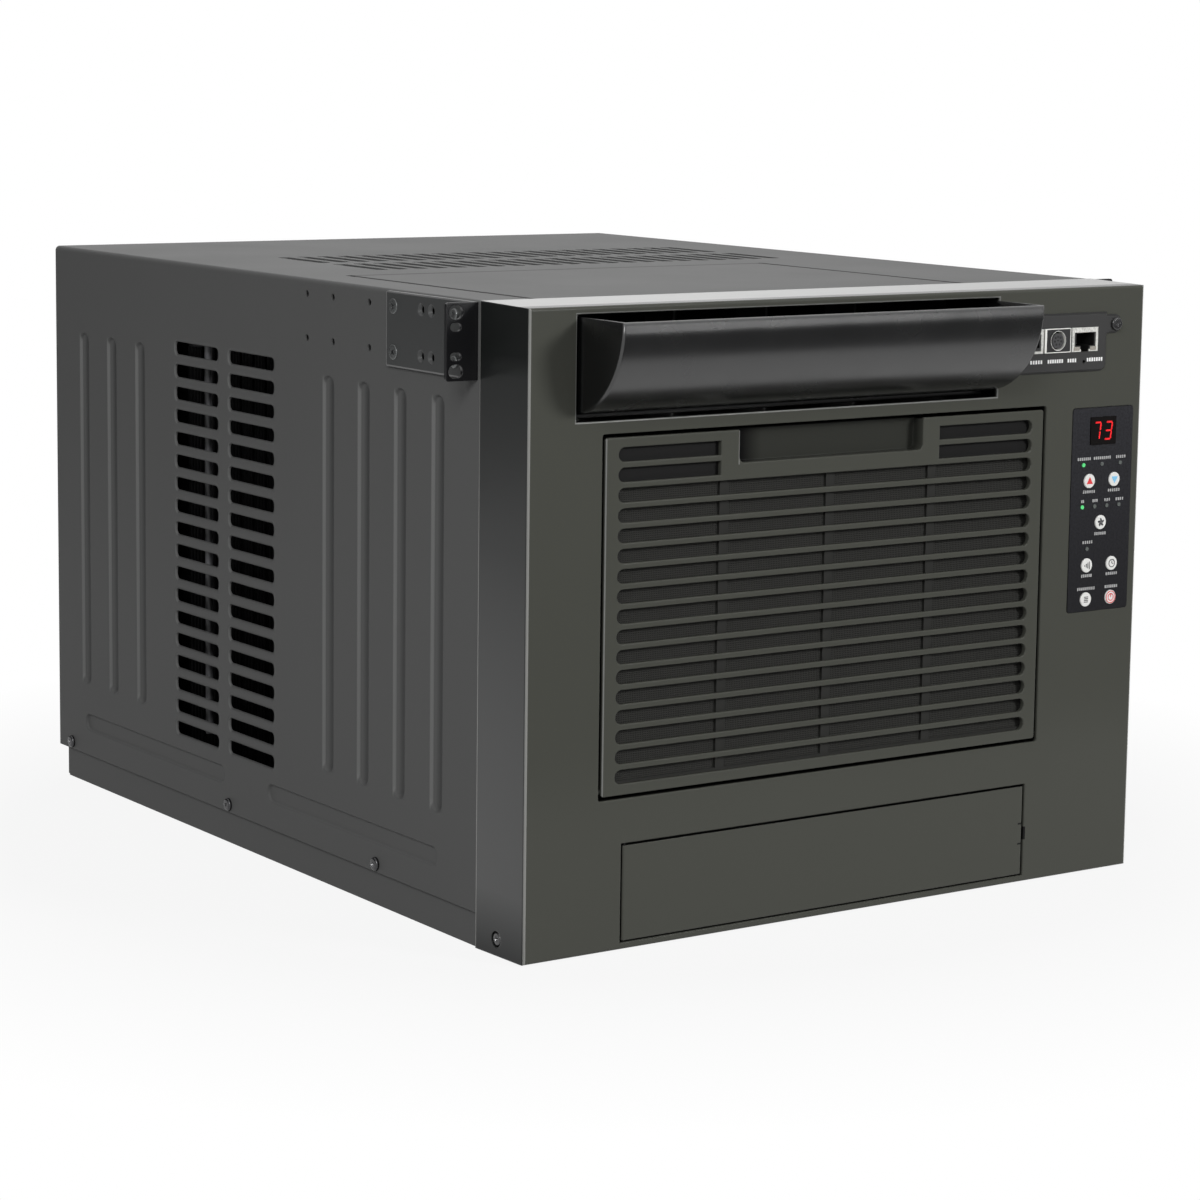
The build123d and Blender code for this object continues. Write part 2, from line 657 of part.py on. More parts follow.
def blade_section(plane, tilt, chord):
    """Section of a fan blade: a thin arched strip, tilted in its plane."""
    across = plane.x_dir.rotate(Axis((0, 0, 0), plane.z_dir), tilt)
    with BuildSketch(Plane(plane.origin, across, plane.z_dir)) as section:
        with BuildLine():
            hollow = ThreePointArc((0, -chord / 2), (FAN_BLADE_CAMBER, 0), (0, chord / 2))
            crown = ThreePointArc(
                (FAN_BLADE_T, chord / 2), (FAN_BLADE_CAMBER + FAN_BLADE_T, 0), (FAN_BLADE_T, -chord / 2)
            )
            Line(hollow @ 1, crown @ 0)
            Line(crown @ 1, hollow @ 0)
        make_face()
    return section.sketch


# Condenser fan: a hub on the motor shaft with raked blades
fan_y0 = shroud_y
with BuildPart() as condenser_fan:
    with BuildSketch(Plane.XZ.offset(-fan_y0)):
        with Locations((0, exhaust_z)):
            Circle(FAN_HUB_R)
    extrude(amount=-FAN_HUB_D)
    blade_mid = Vector(0, fan_y0 + FAN_HUB_D / 2, exhaust_z)
    for i in range(FAN_BLADES):
        turned = Plane(origin=blade_mid, x_dir=(0, 1, 0), z_dir=(0, 0, 1)).rotated((0, i * 360 / FAN_BLADES, 0))
        root = blade_section(turned.offset(FAN_HUB_R / 2), FAN_BLADE_TILT, FAN_BLADE_ROOT)
        tip = blade_section(turned.offset(FAN_R), FAN_BLADE_TILT + FAN_BLADE_TWIST, FAN_BLADE_TIP)
        loft([root, tip])
    with BuildSketch(Plane.XZ.offset(-fan_y0)):
        with Locations((0, exhaust_z)):
            Circle(SHAFT_R + SHAFT_FIT)
    extrude(amount=-FAN_HUB_D, mode=Mode.SUBTRACT)
condenser_fan.part.label = "condenser_fan"
export_step(condenser_fan.part, "parts/condenser_fan.step")

# Front bezel: one moulding, open at the back, with collars round its three large openings
recess_mid = ((recess_x0 + recess_x1) / 2, (recess_z0 + recess_z1) / 2)
recess_w = recess_x1 - recess_x0
recess_h = recess_z1 - recess_z0
opening_mid = ((opening_x0 + opening_x1) / 2, (opening_z0 + opening_z1) / 2)
opening_w = opening_x1 - opening_x0
door_hole_w = door_hole_x1 - door_hole_x0
panel_mid = (panel_x, panel_z1 - PANEL_H / 2)
with BuildPart() as front_bezel:
    with BuildSketch(Plane.YZ.offset(-SIDE)):
        with BuildLine():
            Polyline(
                (FRONT, BEZEL_DRAFT),
                (BEZEL_REAR, 0),
                (BEZEL_REAR, BODY_H),
                (FRONT, BODY_H - BEZEL_DRAFT),
                close=True,
            )
        make_face()
    extrude(amount=BODY_W)
    fillet(front_bezel.faces().sort_by(Axis.Y)[0].edges(), BEZEL_EDGE_R)
    with BuildSketch(front_plane(BEZEL_D)):
        with Locations((0, BODY_H / 2)):
            Rectangle(BODY_W - 2 * BEZEL_WALL, BODY_H - 2 * BEZEL_WALL)
    extrude(amount=BEZEL_D - BEZEL_WALL, mode=Mode.SUBTRACT)
    with BuildSketch(front_plane(BEZEL_D)):
        with Locations(opening_mid):
            Rectangle(opening_w + 2 * COLLAR_T, OPENING_H + 2 * COLLAR_T)
        with Locations(recess_mid):
            Rectangle(recess_w + 2 * COLLAR_T, recess_h + 2 * COLLAR_T)
    extrude(amount=BEZEL_D - BEZEL_WALL)
    with BuildSketch(front_plane(DOOR_COLLAR_D)):
        with Locations(door_hole_mid):
            Rectangle(door_hole_w + 2 * COLLAR_T, DOOR_H + 2 * COLLAR_T)
    extrude(amount=DOOR_COLLAR_D - BEZEL_WALL)
    with BuildSketch(front_plane(BEZEL_D)):
        with Locations(opening_mid):
            Rectangle(opening_w, OPENING_H)
        with Locations(recess_mid):
            RectangleRounded(recess_w, recess_h, GRILLE_CORNER_R)
        with Locations(door_hole_mid):
            Rectangle(door_hole_w, DOOR_H)
    extrude(amount=BEZEL_D, mode=Mode.SUBTRACT)
    rims = front_bezel.faces().sort_by(Axis.Y)[0].inner_wires()
    fillet([edge for rim in rims for edge in rim.edges()], BEZEL_RIM_R)
    with BuildSketch(front_plane(BEZEL_D)):
        for x in (network_x, config_x, sensor_x):
            with Locations((x, jack_z)):
                Rectangle(JACK_W + 2 * FIT, JACK_H + 2 * FIT)
    extrude(amount=BEZEL_D, mode=Mode.SUBTRACT)
    with BuildSketch(front_plane()):
        with Locations(panel_mid):
            RectangleRounded(PANEL_W + 2 * FIT, PANEL_H + 2 * FIT, PANEL_CORNER_R)
    extrude(amount=-PANEL_SINK, mode=Mode.SUBTRACT)
    with BuildSketch(Plane.YZ.offset(opening_x0 - PIN_BITE)):
        with Locations((hood_axis_y, hood_axis_z)):
            Circle(PIN_R + PIN_FIT)
    extrude(amount=opening_w + 2 * PIN_BITE, mode=Mode.SUBTRACT)
    with BuildSketch(Plane.YZ.offset(recess_x0 - PIN_BITE)):
        with Locations((grille_axis_y, grille_axis_z)):
            Circle(PIN_R + PIN_FIT)
    extrude(amount=recess_w + 2 * PIN_BITE, mode=Mode.SUBTRACT)
    with BuildSketch(Plane.XY.offset(door_hole_z0 - PIN_BITE)):
        with Locations((door_axis_x, door_axis_y)):
            Circle(DOOR_PIN_R + PIN_FIT)
    extrude(amount=DOOR_H + 2 * PIN_BITE, mode=Mode.SUBTRACT)
    with BuildSketch(Plane.YZ):
        with Locations((FRONT + SIDE_SCREW_Y, SIDE_SCREW_Z)):
            Circle(SIDE_SCREW_R)
    extrude(amount=BODY_W, both=True, mode=Mode.SUBTRACT)
    for side in (-1, 1):
        with BuildSketch(Plane.YZ.offset(side * SIDE)):
            with Locations((FRONT + SIDE_SCREW_Y, SIDE_SCREW_Z)):
                Circle(SIDE_SCREW_SINK_R)
        extrude(amount=-side * SIDE_SCREW_SINK, mode=Mode.SUBTRACT)
front_bezel.part.label = "front_bezel"
export_step(front_bezel.part, "parts/front_bezel.step")

# Outlet duct: carries the cold air from the bulkhead to the hood opening
duct_y, duct_d = span(BEZEL_REAR, bulkhead_y)
duct_x, duct_w = span(opening_x0 - DUCT_T, opening_x1 + DUCT_T)
duct_z0 = opening_z0 - DUCT_DROP
duct_z, duct_h = span(duct_z0 - DUCT_T, opening_z1 + DUCT_T)
with BuildPart() as outlet_duct:
    with BuildSketch(Plane.XZ.offset(-bulkhead_y)):
        with Locations((duct_x, duct_z)):
            Rectangle(duct_w, duct_h)
    extrude(amount=duct_d)
    with BuildSketch(Plane.XZ.offset(-(bulkhead_y - DUCT_T))):
        with Locations((duct_x, duct_z)):
            Rectangle(duct_w - 2 * DUCT_T, duct_h - 2 * DUCT_T)
    extrude(amount=duct_d, mode=Mode.SUBTRACT)
outlet_duct.part.label = "outlet_duct"
export_step(outlet_duct.part, "parts/outlet_duct.step")

# Outlet vanes: upright blades that share one rod, between the duct's floor and ceiling
vane_pitch = opening_w / (VANE_COUNT + 0.5)
vane_y0 = BEZEL_REAR + VANE_BACK
with BuildPart() as outlet_vanes:
    with BuildSketch(Plane.XY.offset(duct_z0)):
        with Locations((opening_mid[0], vane_y0)):
            with GridLocations(vane_pitch, 0, VANE_COUNT, 1):
                Rectangle(VANE_T, VANE_D, align=(Align.CENTER, Align.MIN))
    extrude(amount=opening_z1 - duct_z0)
    with BuildSketch(Plane.YZ.offset(opening_x0)):
        with Locations((vane_y0 + VANE_D / 2, duct_z)):
            Circle(VANE_ROD_R)
    extrude(amount=opening_w)
outlet_vanes.part.label = "outlet_vanes"
export_step(outlet_vanes.part, "parts/outlet_vanes.step")

# Air hood: a quarter drum with flat ends, on two pins at its axis
with BuildPart() as air_hood:
    with BuildSketch(Plane.YZ.offset(hood_x0)) as hood_end:
        with Locations((hood_axis_y, hood_axis_z)):
            Circle(HOOD_R)
        with Locations((hood_axis_y + HOOD_NOSE, hood_axis_z + HOOD_NOSE)):
            Rectangle(2 * HOOD_R, 2 * HOOD_R, align=(Align.MAX, Align.MAX), mode=Mode.INTERSECT)
        fillet(hood_end.vertices().sort_by(Axis((0, 0, 0), (1, 1, 0)))[-1], HOOD_NOSE)
    extrude(amount=hood_x1 - hood_x0)
    fillet(air_hood.faces().filter_by(GeomType.CYLINDER).sort_by(SortBy.AREA)[-1].edges(), HOOD_EDGE_R)
    with BuildSketch(Plane.YZ.offset(hood_x0 + HOOD_T)):
        with Locations((hood_axis_y, hood_axis_z)):
            Circle(HOOD_R - HOOD_T)
    extrude(amount=hood_x1 - hood_x0 - 2 * HOOD_T, mode=Mode.SUBTRACT)
    for x, reach in ((hood_x0, -1), (hood_x1, 1)):
        with BuildSketch(Plane.YZ.offset(x)):
            with Locations((hood_axis_y, hood_axis_z)):
                Circle(PIN_R)
        extrude(amount=reach * (HOOD_END_GAP + PIN_BITE - FIT))
air_hood.part.label = "air_hood"
export_step(air_hood.part, "parts/air_hood.step")

# Intake grille: a shallow moulded tray with rows of slots and a finger pull in its top edge
row_count = int((grille_h - 2 * ROW_EDGE) / ROW_PITCH) + 1
row_zs = [grille_z1 - ROW_EDGE - i * ROW_PITCH for i in range(row_count)]
row_x0 = grille_x0 + ROW_END
row_x1 = grille_x1 - ROW_END
row_mid, row_l = span(row_x0, row_x1)
pull_x0 = grille_x0 + PULL_FROM_LEFT
pull_x1 = pull_x0 + PULL_W
pull_mid = (pull_x0 + pull_x1) / 2
pull_z0 = grille_z1 - PULL_H
with BuildPart() as intake_grille:
    with BuildSketch(front_plane()):
        with Locations(grille_mid):
            RectangleRounded(grille_w, grille_h, GRILLE_CORNER_R)
    extrude(amount=-GRILLE_RIM_D)
    with BuildSketch(front_plane(GRILLE_T)):
        with Locations(grille_mid):
            Rectangle(grille_w - 2 * GRILLE_RIM_T, grille_h - 2 * GRILLE_RIM_T)
    extrude(amount=-GRILLE_RIM_D, mode=Mode.SUBTRACT)
    with BuildSketch(front_plane(GRILLE_T)):
        with Locations((pull_mid, grille_z1)):
            Rectangle(PULL_W + 2 * PULL_WALL, PULL_H + PULL_WALL, align=(Align.CENTER, Align.MAX))
    extrude(amount=-(PULL_D + PULL_WALL - GRILLE_T))
    with BuildSketch(front_plane()) as pull:
        with Locations((pull_mid, pull_z0)):
            Rectangle(PULL_W, 2 * PULL_H, align=(Align.CENTER, Align.MIN))
        fillet(pull.vertices().group_by(Axis.Y)[0], PULL_R)
    extrude(amount=-PULL_D, mode=Mode.SUBTRACT)
    lips = intake_grille.edges().filter_by(Axis.Y).filter_by(lambda edge: edge.length == PULL_D)
    fillet(lips.group_by(Axis.Z)[-1], PULL_LIP_R)
    fillet(intake_grille.faces().sort_by(Axis.Y)[0].outer_wire().edges(), GRILLE_EDGE_R)
    with BuildSketch(front_plane()):
        for z in row_zs:
            if z + ROW_H / 2 < pull_z0 - PULL_WALL:
                with Locations((row_mid, z)):
                    SlotOverall(row_l, ROW_H)
                continue
            for end, inner in ((row_x0, pull_x0 - PULL_MARGIN), (row_x1, pull_x1 + PULL_MARGIN)):
                outer = end + (ROW_H / 2 if end < inner else -ROW_H / 2)
                with Locations((outer, z)):
                    Circle(ROW_H / 2)
                with Locations(((outer + inner) / 2, z)):
                    Rectangle(abs(outer - inner), ROW_H)
    extrude(amount=-GRILLE_T, mode=Mode.SUBTRACT)
    slots = intake_grille.faces().sort_by(Axis.Y)[0].inner_wires()
    chamfer([edge for slot in slots for edge in slot.edges()], ROW_BEVEL)
    for x, reach in ((grille_x0, -1), (grille_x1, 1)):
        with BuildSketch(Plane.YZ.offset(x)):
            with Locations((grille_axis_y, grille_axis_z)):
                Circle(PIN_R)
        extrude(amount=reach * (GRILLE_GAP + PIN_BITE - FIT))
intake_grille.part.label = "intake_grille"
export_step(intake_grille.part, "parts/intake_grille.step")

# Air filter: a barred frame with a mesh, close behind the grille's face, its head notched for the pull
filter_y = GRILLE_T + FILTER_GAP
filter_w = grille_w - 2 * (GRILLE_RIM_T + FILTER_GAP)
filter_h = grille_h - 2 * (GRILLE_RIM_T + FILTER_GAP)
bar_pitch = (filter_w - 2 * FILTER_FRAME) / (FILTER_BARS + 1)
with BuildPart() as air_filter:
    with BuildSketch(front_plane(filter_y)):
        with Locations(grille_mid):
            Rectangle(filter_w, filter_h)
            Rectangle(filter_w - 2 * FILTER_FRAME, filter_h - 2 * FILTER_FRAME, mode=Mode.SUBTRACT)
            with GridLocations(bar_pitch, 0, FILTER_BARS, 1):
                Rectangle(FILTER_BAR_W, filter_h)
            with Locations((0, filter_h / 2)):
                Rectangle(filter_w, FILTER_HEAD, align=(Align.CENTER, Align.MAX))
    extrude(amount=-FILTER_T)
    with BuildSketch(front_plane(filter_y + FILTER_T - FILTER_MESH_T)):
        with Locations(grille_mid):
            Rectangle(filter_w, filter_h)
    extrude(amount=-FILTER_MESH_T)
    with BuildSketch(front_plane(filter_y)):
        with Locations((pull_mid, grille_z1)):
            Rectangle(
                PULL_W + 2 * (PULL_WALL + FILTER_GAP),
                PULL_H + PULL_WALL + FILTER_GAP,
                align=(Align.CENTER, Align.MAX),
            )
    extrude(amount=-FILTER_T, mode=Mode.SUBTRACT)
air_filter.part.label = "air_filter"
export_step(air_filter.part, "parts/air_filter.step")

# Service door: a flat flap on two pins at its left edge, with snap tabs at its right edge
door_x, door_w = span(door_x0, door_x1)
door_z, door_h = span(door_z0, door_z1)
with BuildPart() as access_door:
    with BuildSketch(front_plane()):
        with Locations((door_x, door_z)):
            Rectangle(door_w, door_h)
    extrude(amount=-DOOR_T)
    fillet(access_door.edges().filter_by(Axis.Z).group_by(Axis.Y)[0], DOOR_EDGE_R)
    with BuildSketch(front_plane(DOOR_T)):
        with Locations((door_x, door_z)):
            Rectangle(door_w - 2 * DOOR_RIM_IN, door_h - 2 * DOOR_RIM_IN)
            Rectangle(
                door_w - 2 * (DOOR_RIM_IN + DOOR_RIM_T),
                door_h - 2 * (DOOR_RIM_IN + DOOR_RIM_T),
                mode=Mode.SUBTRACT,
            )
    extrude(amount=-DOOR_RIM_D)
    with BuildSketch(front_plane(DOOR_T - TAB_T)):
        with Locations((door_x1, door_z)):
            with GridLocations(0, TAB_PITCH, 1, 2):
                Rectangle(2 * TAB_REACH, TAB_W)
    extrude(amount=-TAB_T)
    for z, reach in ((door_z0, -1), (door_z1, 1)):
        with BuildSketch(Plane.XY.offset(z)):
            with Locations((door_axis_x, door_axis_y)):
                Circle(DOOR_PIN_R)
        extrude(amount=reach * (DOOR_GAP + PIN_BITE - FIT))
access_door.part.label = "access_door"
export_step(access_door.part, "parts/access_door.step")

# Service recess: the plain tray behind the door, against the bezel's collar
with BuildPart() as service_recess:
    with BuildSketch(front_plane(DOOR_COLLAR_D)):
        with Locations(door_hole_mid):
            Rectangle(door_hole_w + 2 * RECESS_WALL, DOOR_H + 2 * RECESS_WALL - FIT)
    extrude(amount=-RECESS_D)
    with BuildSketch(front_plane(DOOR_COLLAR_D)):
        with Locations(door_hole_mid):
            Rectangle(door_hole_w, DOOR_H - FIT)
    extrude(amount=-(RECESS_D - RECESS_WALL), mode=Mode.SUBTRACT)
service_recess.part.label = "service_recess"
export_step(service_recess.part, "parts/service_recess.step")

# Control panel: a thin plate let into the bezel, with its window, buttons and lamps on it
with BuildPart() as control_panel:
    with BuildSketch(front_plane(PANEL_SINK)):
        with Locations(panel_mid):
            RectangleRounded(PANEL_W, PANEL_H, PANEL_CORNER_R)
    extrude(amount=PANEL_T)
control_panel.part.label = "control_panel"
export_step(control_panel.part, "parts/control_panel.step")

panel_plane = Plane.XZ.offset(-panel_face)
with BuildPart() as display_window:
    with BuildSketch(panel_plane):
        with Locations((panel_x, panel_z1 - DISPLAY_DOWN)):
            Rectangle(DISPLAY_W, DISPLAY_H)
    extrude(amount=DISPLAY_T)
display_window.part.label = "display_window"
export_step(display_window.part, "parts/display_window.step")

button_places = [(panel_x, panel_z1 - BUTTON_MIDDLE_DOWN)]
for down in BUTTON_PAIR_DOWNS:
    button_places.append((panel_x - BUTTON_HALF_PITCH, panel_z1 - down))
    button_places.append((panel_x + BUTTON_HALF_PITCH, panel_z1 - down))
with BuildPart() as keypad_buttons:
    with BuildSketch(panel_plane):
        with Locations(*button_places):
            Circle(BUTTON_R)
    extrude(amount=BUTTON_T)
    fillet(keypad_buttons.edges().group_by(Axis.Y)[0], BUTTON_EDGE_R)
keypad_buttons.part.label = "keypad_buttons"
export_step(keypad_buttons.part, "parts/keypad_buttons.step")

with BuildPart() as indicator_lamps:
    with BuildSketch(panel_plane):
        with Locations((panel_x, panel_z1 - LAMP_ROW_DOWN)):
            with GridLocations(LAMP_ROW_PITCH, 0, 3, 1):
                Circle(LAMP_R)
        with Locations((panel_x, panel_z1 - LAMP_BAR_DOWN)):
            with GridLocations(LAMP_BAR_PITCH, 0, 4, 1):
                Circle(LAMP_R)
        with Locations((panel_x - BUTTON_HALF_PITCH, panel_z1 - LAMP_QUIET_DOWN)):
            Circle(LAMP_R)
    extrude(amount=LAMP_T)
indicator_lamps.part.label = "indicator_lamps"
export_step(indicator_lamps.part, "parts/indicator_lamps.step")

# Network card: a bevelled plate with a screw ear, and three jacks through it
card_x, card_w = span(card_x0, card_x1)
card_z = (card_z0 + card_z1) / 2
ear_at = (card_x1 + CARD_EAR_OUT, card_z1 - CARD_EAR_DOWN)
with BuildPart() as card_plate:
    with BuildSketch(front_plane()) as card_outline:
        with Locations((card_x, card_z)):
            Rectangle(card_w, CARD_H)
        fillet(card_outline.vertices().group_by(Axis.X)[-1].sort_by(Axis.Y)[0], CARD_CORNER_R)
        with Locations(ear_at):
            Circle(CARD_EAR_R)
            Rectangle(2 * CARD_EAR_OUT, 2 * CARD_EAR_R, align=(Align.MAX, Align.CENTER))
        neck = Vertex(card_x1, ear_at[1] - CARD_EAR_R)
        fillet(card_outline.vertices().sort_by_distance(neck)[0], CARD_NECK_R)
    extrude(amount=CARD_T)
    chamfer(card_plate.faces().sort_by(Axis.Y)[0].edges(), CARD_BEVEL)
    with BuildSketch(front_plane()):
        for x in (network_x, config_x, sensor_x):
            with Locations((x, jack_z)):
                Rectangle(JACK_W + 2 * FIT, JACK_H + 2 * FIT)
        with Locations(ear_at):
            Circle(CARD_SCREW_R)
        with Locations((network_x, card_z0 + (jack_z - JACK_H / 2 - card_z0) / 2)):
            Circle(CARD_PIPE_R)
    extrude(amount=CARD_T, mode=Mode.SUBTRACT)
card_plate.part.label = "card_plate"
export_step(card_plate.part, "parts/card_plate.step")


def plug_jack(x):
    """A square jack with a socket for a modular plug, and a latch notch open at the bottom."""
    with BuildPart() as jack:
        with BuildSketch(Plane.XZ.offset(-jack_face)):
            with Locations((x, jack_z)):
                Rectangle(JACK_W, JACK_H)
        extrude(amount=-JACK_D)
        with BuildSketch(Plane.XZ.offset(-jack_face)):
            with Locations((x, jack_z + JACK_H / 2 - SOCKET_TOP)):
                Rectangle(SOCKET_W, SOCKET_H, align=(Align.CENTER, Align.MAX))
                Rectangle(SOCKET_KEY_W, JACK_H, align=(Align.CENTER, Align.MAX))
        extrude(amount=-SOCKET_D, mode=Mode.SUBTRACT)
    return jack.part


network_jack = plug_jack(network_x)
network_jack.label = "network_jack"
export_step(network_jack, "parts/network_jack.step")

sensor_jack = plug_jack(sensor_x)
sensor_jack.label = "sensor_jack"
export_step(sensor_jack, "parts/sensor_jack.step")

with BuildPart() as config_jack:
    with BuildSketch(Plane.XZ.offset(-jack_face)):
        with Locations((config_x, jack_z)):
            Rectangle(JACK_W, JACK_H)
    extrude(amount=-JACK_D)
    with BuildSketch(Plane.XZ.offset(-jack_face)):
        with Locations((config_x, jack_z)):
            Circle(ROUND_SOCKET_R)
            Circle(ROUND_SOCKET_CORE_R, mode=Mode.SUBTRACT)
    extrude(amount=-ROUND_SOCKET_D, mode=Mode.SUBTRACT)
    with BuildSketch(Plane.XZ.offset(-jack_face)):
        with Locations((config_x, jack_z)):
            Circle(ROUND_SOCKET_R + ROUND_RING_W)
            Circle(ROUND_SOCKET_R, mode=Mode.SUBTRACT)
    extrude(amount=ROUND_RING_PROUD)
config_jack.part.label = "config_jack"
export_step(config_jack.part, "parts/config_jack.step")


def rack_ear(side):
    """An angle bracket: a plate on the cabinet's side and a flange across the rack rail."""
    ear_y0 = BEZEL_REAR + EAR_FRONT_GAP
    plate_y, plate_d = span(ear_y0, FRONT + EAR_BACK)
    flange_w = EAR_HOLE_OUT + EAR_EDGE
    hole_x = side * (SIDE + EAR_HOLE_OUT)
    with BuildPart() as ear:
        with BuildSketch(Plane.YZ.offset(side * SIDE)) as plate:
            with Locations((plate_y, ear_z)):
                Rectangle(plate_d, EAR_H)
            fillet(plate.vertices().group_by(Axis.X)[-1], EAR_CORNER_R)
        extrude(amount=side * EAR_T)
        with BuildSketch(Plane.XZ.offset(-ear_y0)) as flange:
            with Locations((side * (SIDE + flange_w / 2), ear_z)):
                Rectangle(flange_w, EAR_H)
            fillet(flange.vertices().sort_by(Axis((0, 0, 0), (side, 0, 0)))[-2:], EAR_CORNER_R)
            with Locations((hole_x, ear_z)):
                with GridLocations(0, EAR_HOLE_PITCH, 1, 2):
                    SlotOverall(EAR_HOLE_L, EAR_HOLE_H, mode=Mode.SUBTRACT)
                with GridLocations(0, EAR_SLOT_PITCH, 1, 2):
                    SlotOverall(EAR_SLOT_L, EAR_SLOT_H, mode=Mode.SUBTRACT)
        extrude(amount=-EAR_T)
        with BuildSketch(Plane.YZ.offset(side * SIDE)):
            for back in (EAR_SCREW_FROM_BACK, *EAR_SPARE_FROM_BACK):
                with Locations((FRONT + EAR_BACK - back, ear_z)):
                    with GridLocations(0, EAR_SCREW_PITCH, 1, 2):
                        Circle(EAR_SCREW_R)
        extrude(amount=side * EAR_T, mode=Mode.SUBTRACT)
        for back in (EAR_SCREW_FROM_BACK, *EAR_SPARE_FROM_BACK):
            for z in (ear_z - EAR_SCREW_PITCH / 2, ear_z + EAR_SCREW_PITCH / 2):
                mouth = Plane(
                    origin=(side * (SIDE + EAR_T), FRONT + EAR_BACK - back, z),
                    z_dir=(side, 0, 0),
                )
                with Locations(mouth):
                    Cone(
                        EAR_SCREW_R,
                        EAR_SINK_R,
                        EAR_SINK_R - EAR_SCREW_R,
                        align=(Align.CENTER, Align.CENTER, Align.MAX),
                        mode=Mode.SUBTRACT,
                    )
    return ear.part


left_rack_ear = rack_ear(-1)
left_rack_ear.label = "left_rack_ear"
export_step(left_rack_ear, "parts/left_rack_ear.step")

right_rack_ear = rack_ear(1)
right_rack_ear.label = "right_rack_ear"
export_step(right_rack_ear, "parts/right_rack_ear.step")
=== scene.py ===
# Rack-mounted air conditioner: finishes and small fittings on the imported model, in metres.
import math

import bpy
from mathutils import Matrix, Vector


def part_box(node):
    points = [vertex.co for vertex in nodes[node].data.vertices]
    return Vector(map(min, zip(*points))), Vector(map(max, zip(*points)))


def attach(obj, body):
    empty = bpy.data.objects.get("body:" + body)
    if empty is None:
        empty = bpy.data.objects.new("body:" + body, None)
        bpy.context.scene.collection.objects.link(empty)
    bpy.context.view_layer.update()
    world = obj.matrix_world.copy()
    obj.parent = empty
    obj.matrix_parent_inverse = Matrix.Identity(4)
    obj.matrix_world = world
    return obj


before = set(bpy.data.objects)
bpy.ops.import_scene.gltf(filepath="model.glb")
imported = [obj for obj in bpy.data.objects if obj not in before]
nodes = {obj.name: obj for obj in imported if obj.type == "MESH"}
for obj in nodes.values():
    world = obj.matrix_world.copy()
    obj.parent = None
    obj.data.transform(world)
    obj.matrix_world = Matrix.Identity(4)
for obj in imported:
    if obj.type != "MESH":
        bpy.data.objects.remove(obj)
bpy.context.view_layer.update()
MM = 0.001

# The studio: a white floor, a white surround and four large soft lamps, the key ahead and to the left.
# The floor glows white for what is seen directly, and near the object it still takes the shadow.
# Each lamp has a place, a size and a power.
FLOOR_SIZE = 24.0
FLOOR_GREY = 0.42
FLOOR_GLOW_NEAR = 0.90
SHADOW_REACH = (0.36, 0.62)
SURROUND_LIGHT = 0.24
LAMPS = {
    "key": ((-2.3, -2.3, 1.8), 1.1, 48.0),
    "fill": ((1.3, -2.8, 1.4), 0.7, 66.0),
    "sky": ((0.2, 1.0, 2.9), 2.4, 9.0),
    "rim": ((2.3, 3.2, 0.95), 1.6, 7.0),
}
LAMP_AIM = Vector((0, 0, 0.18))
WAVE_LENGTH = 0.314


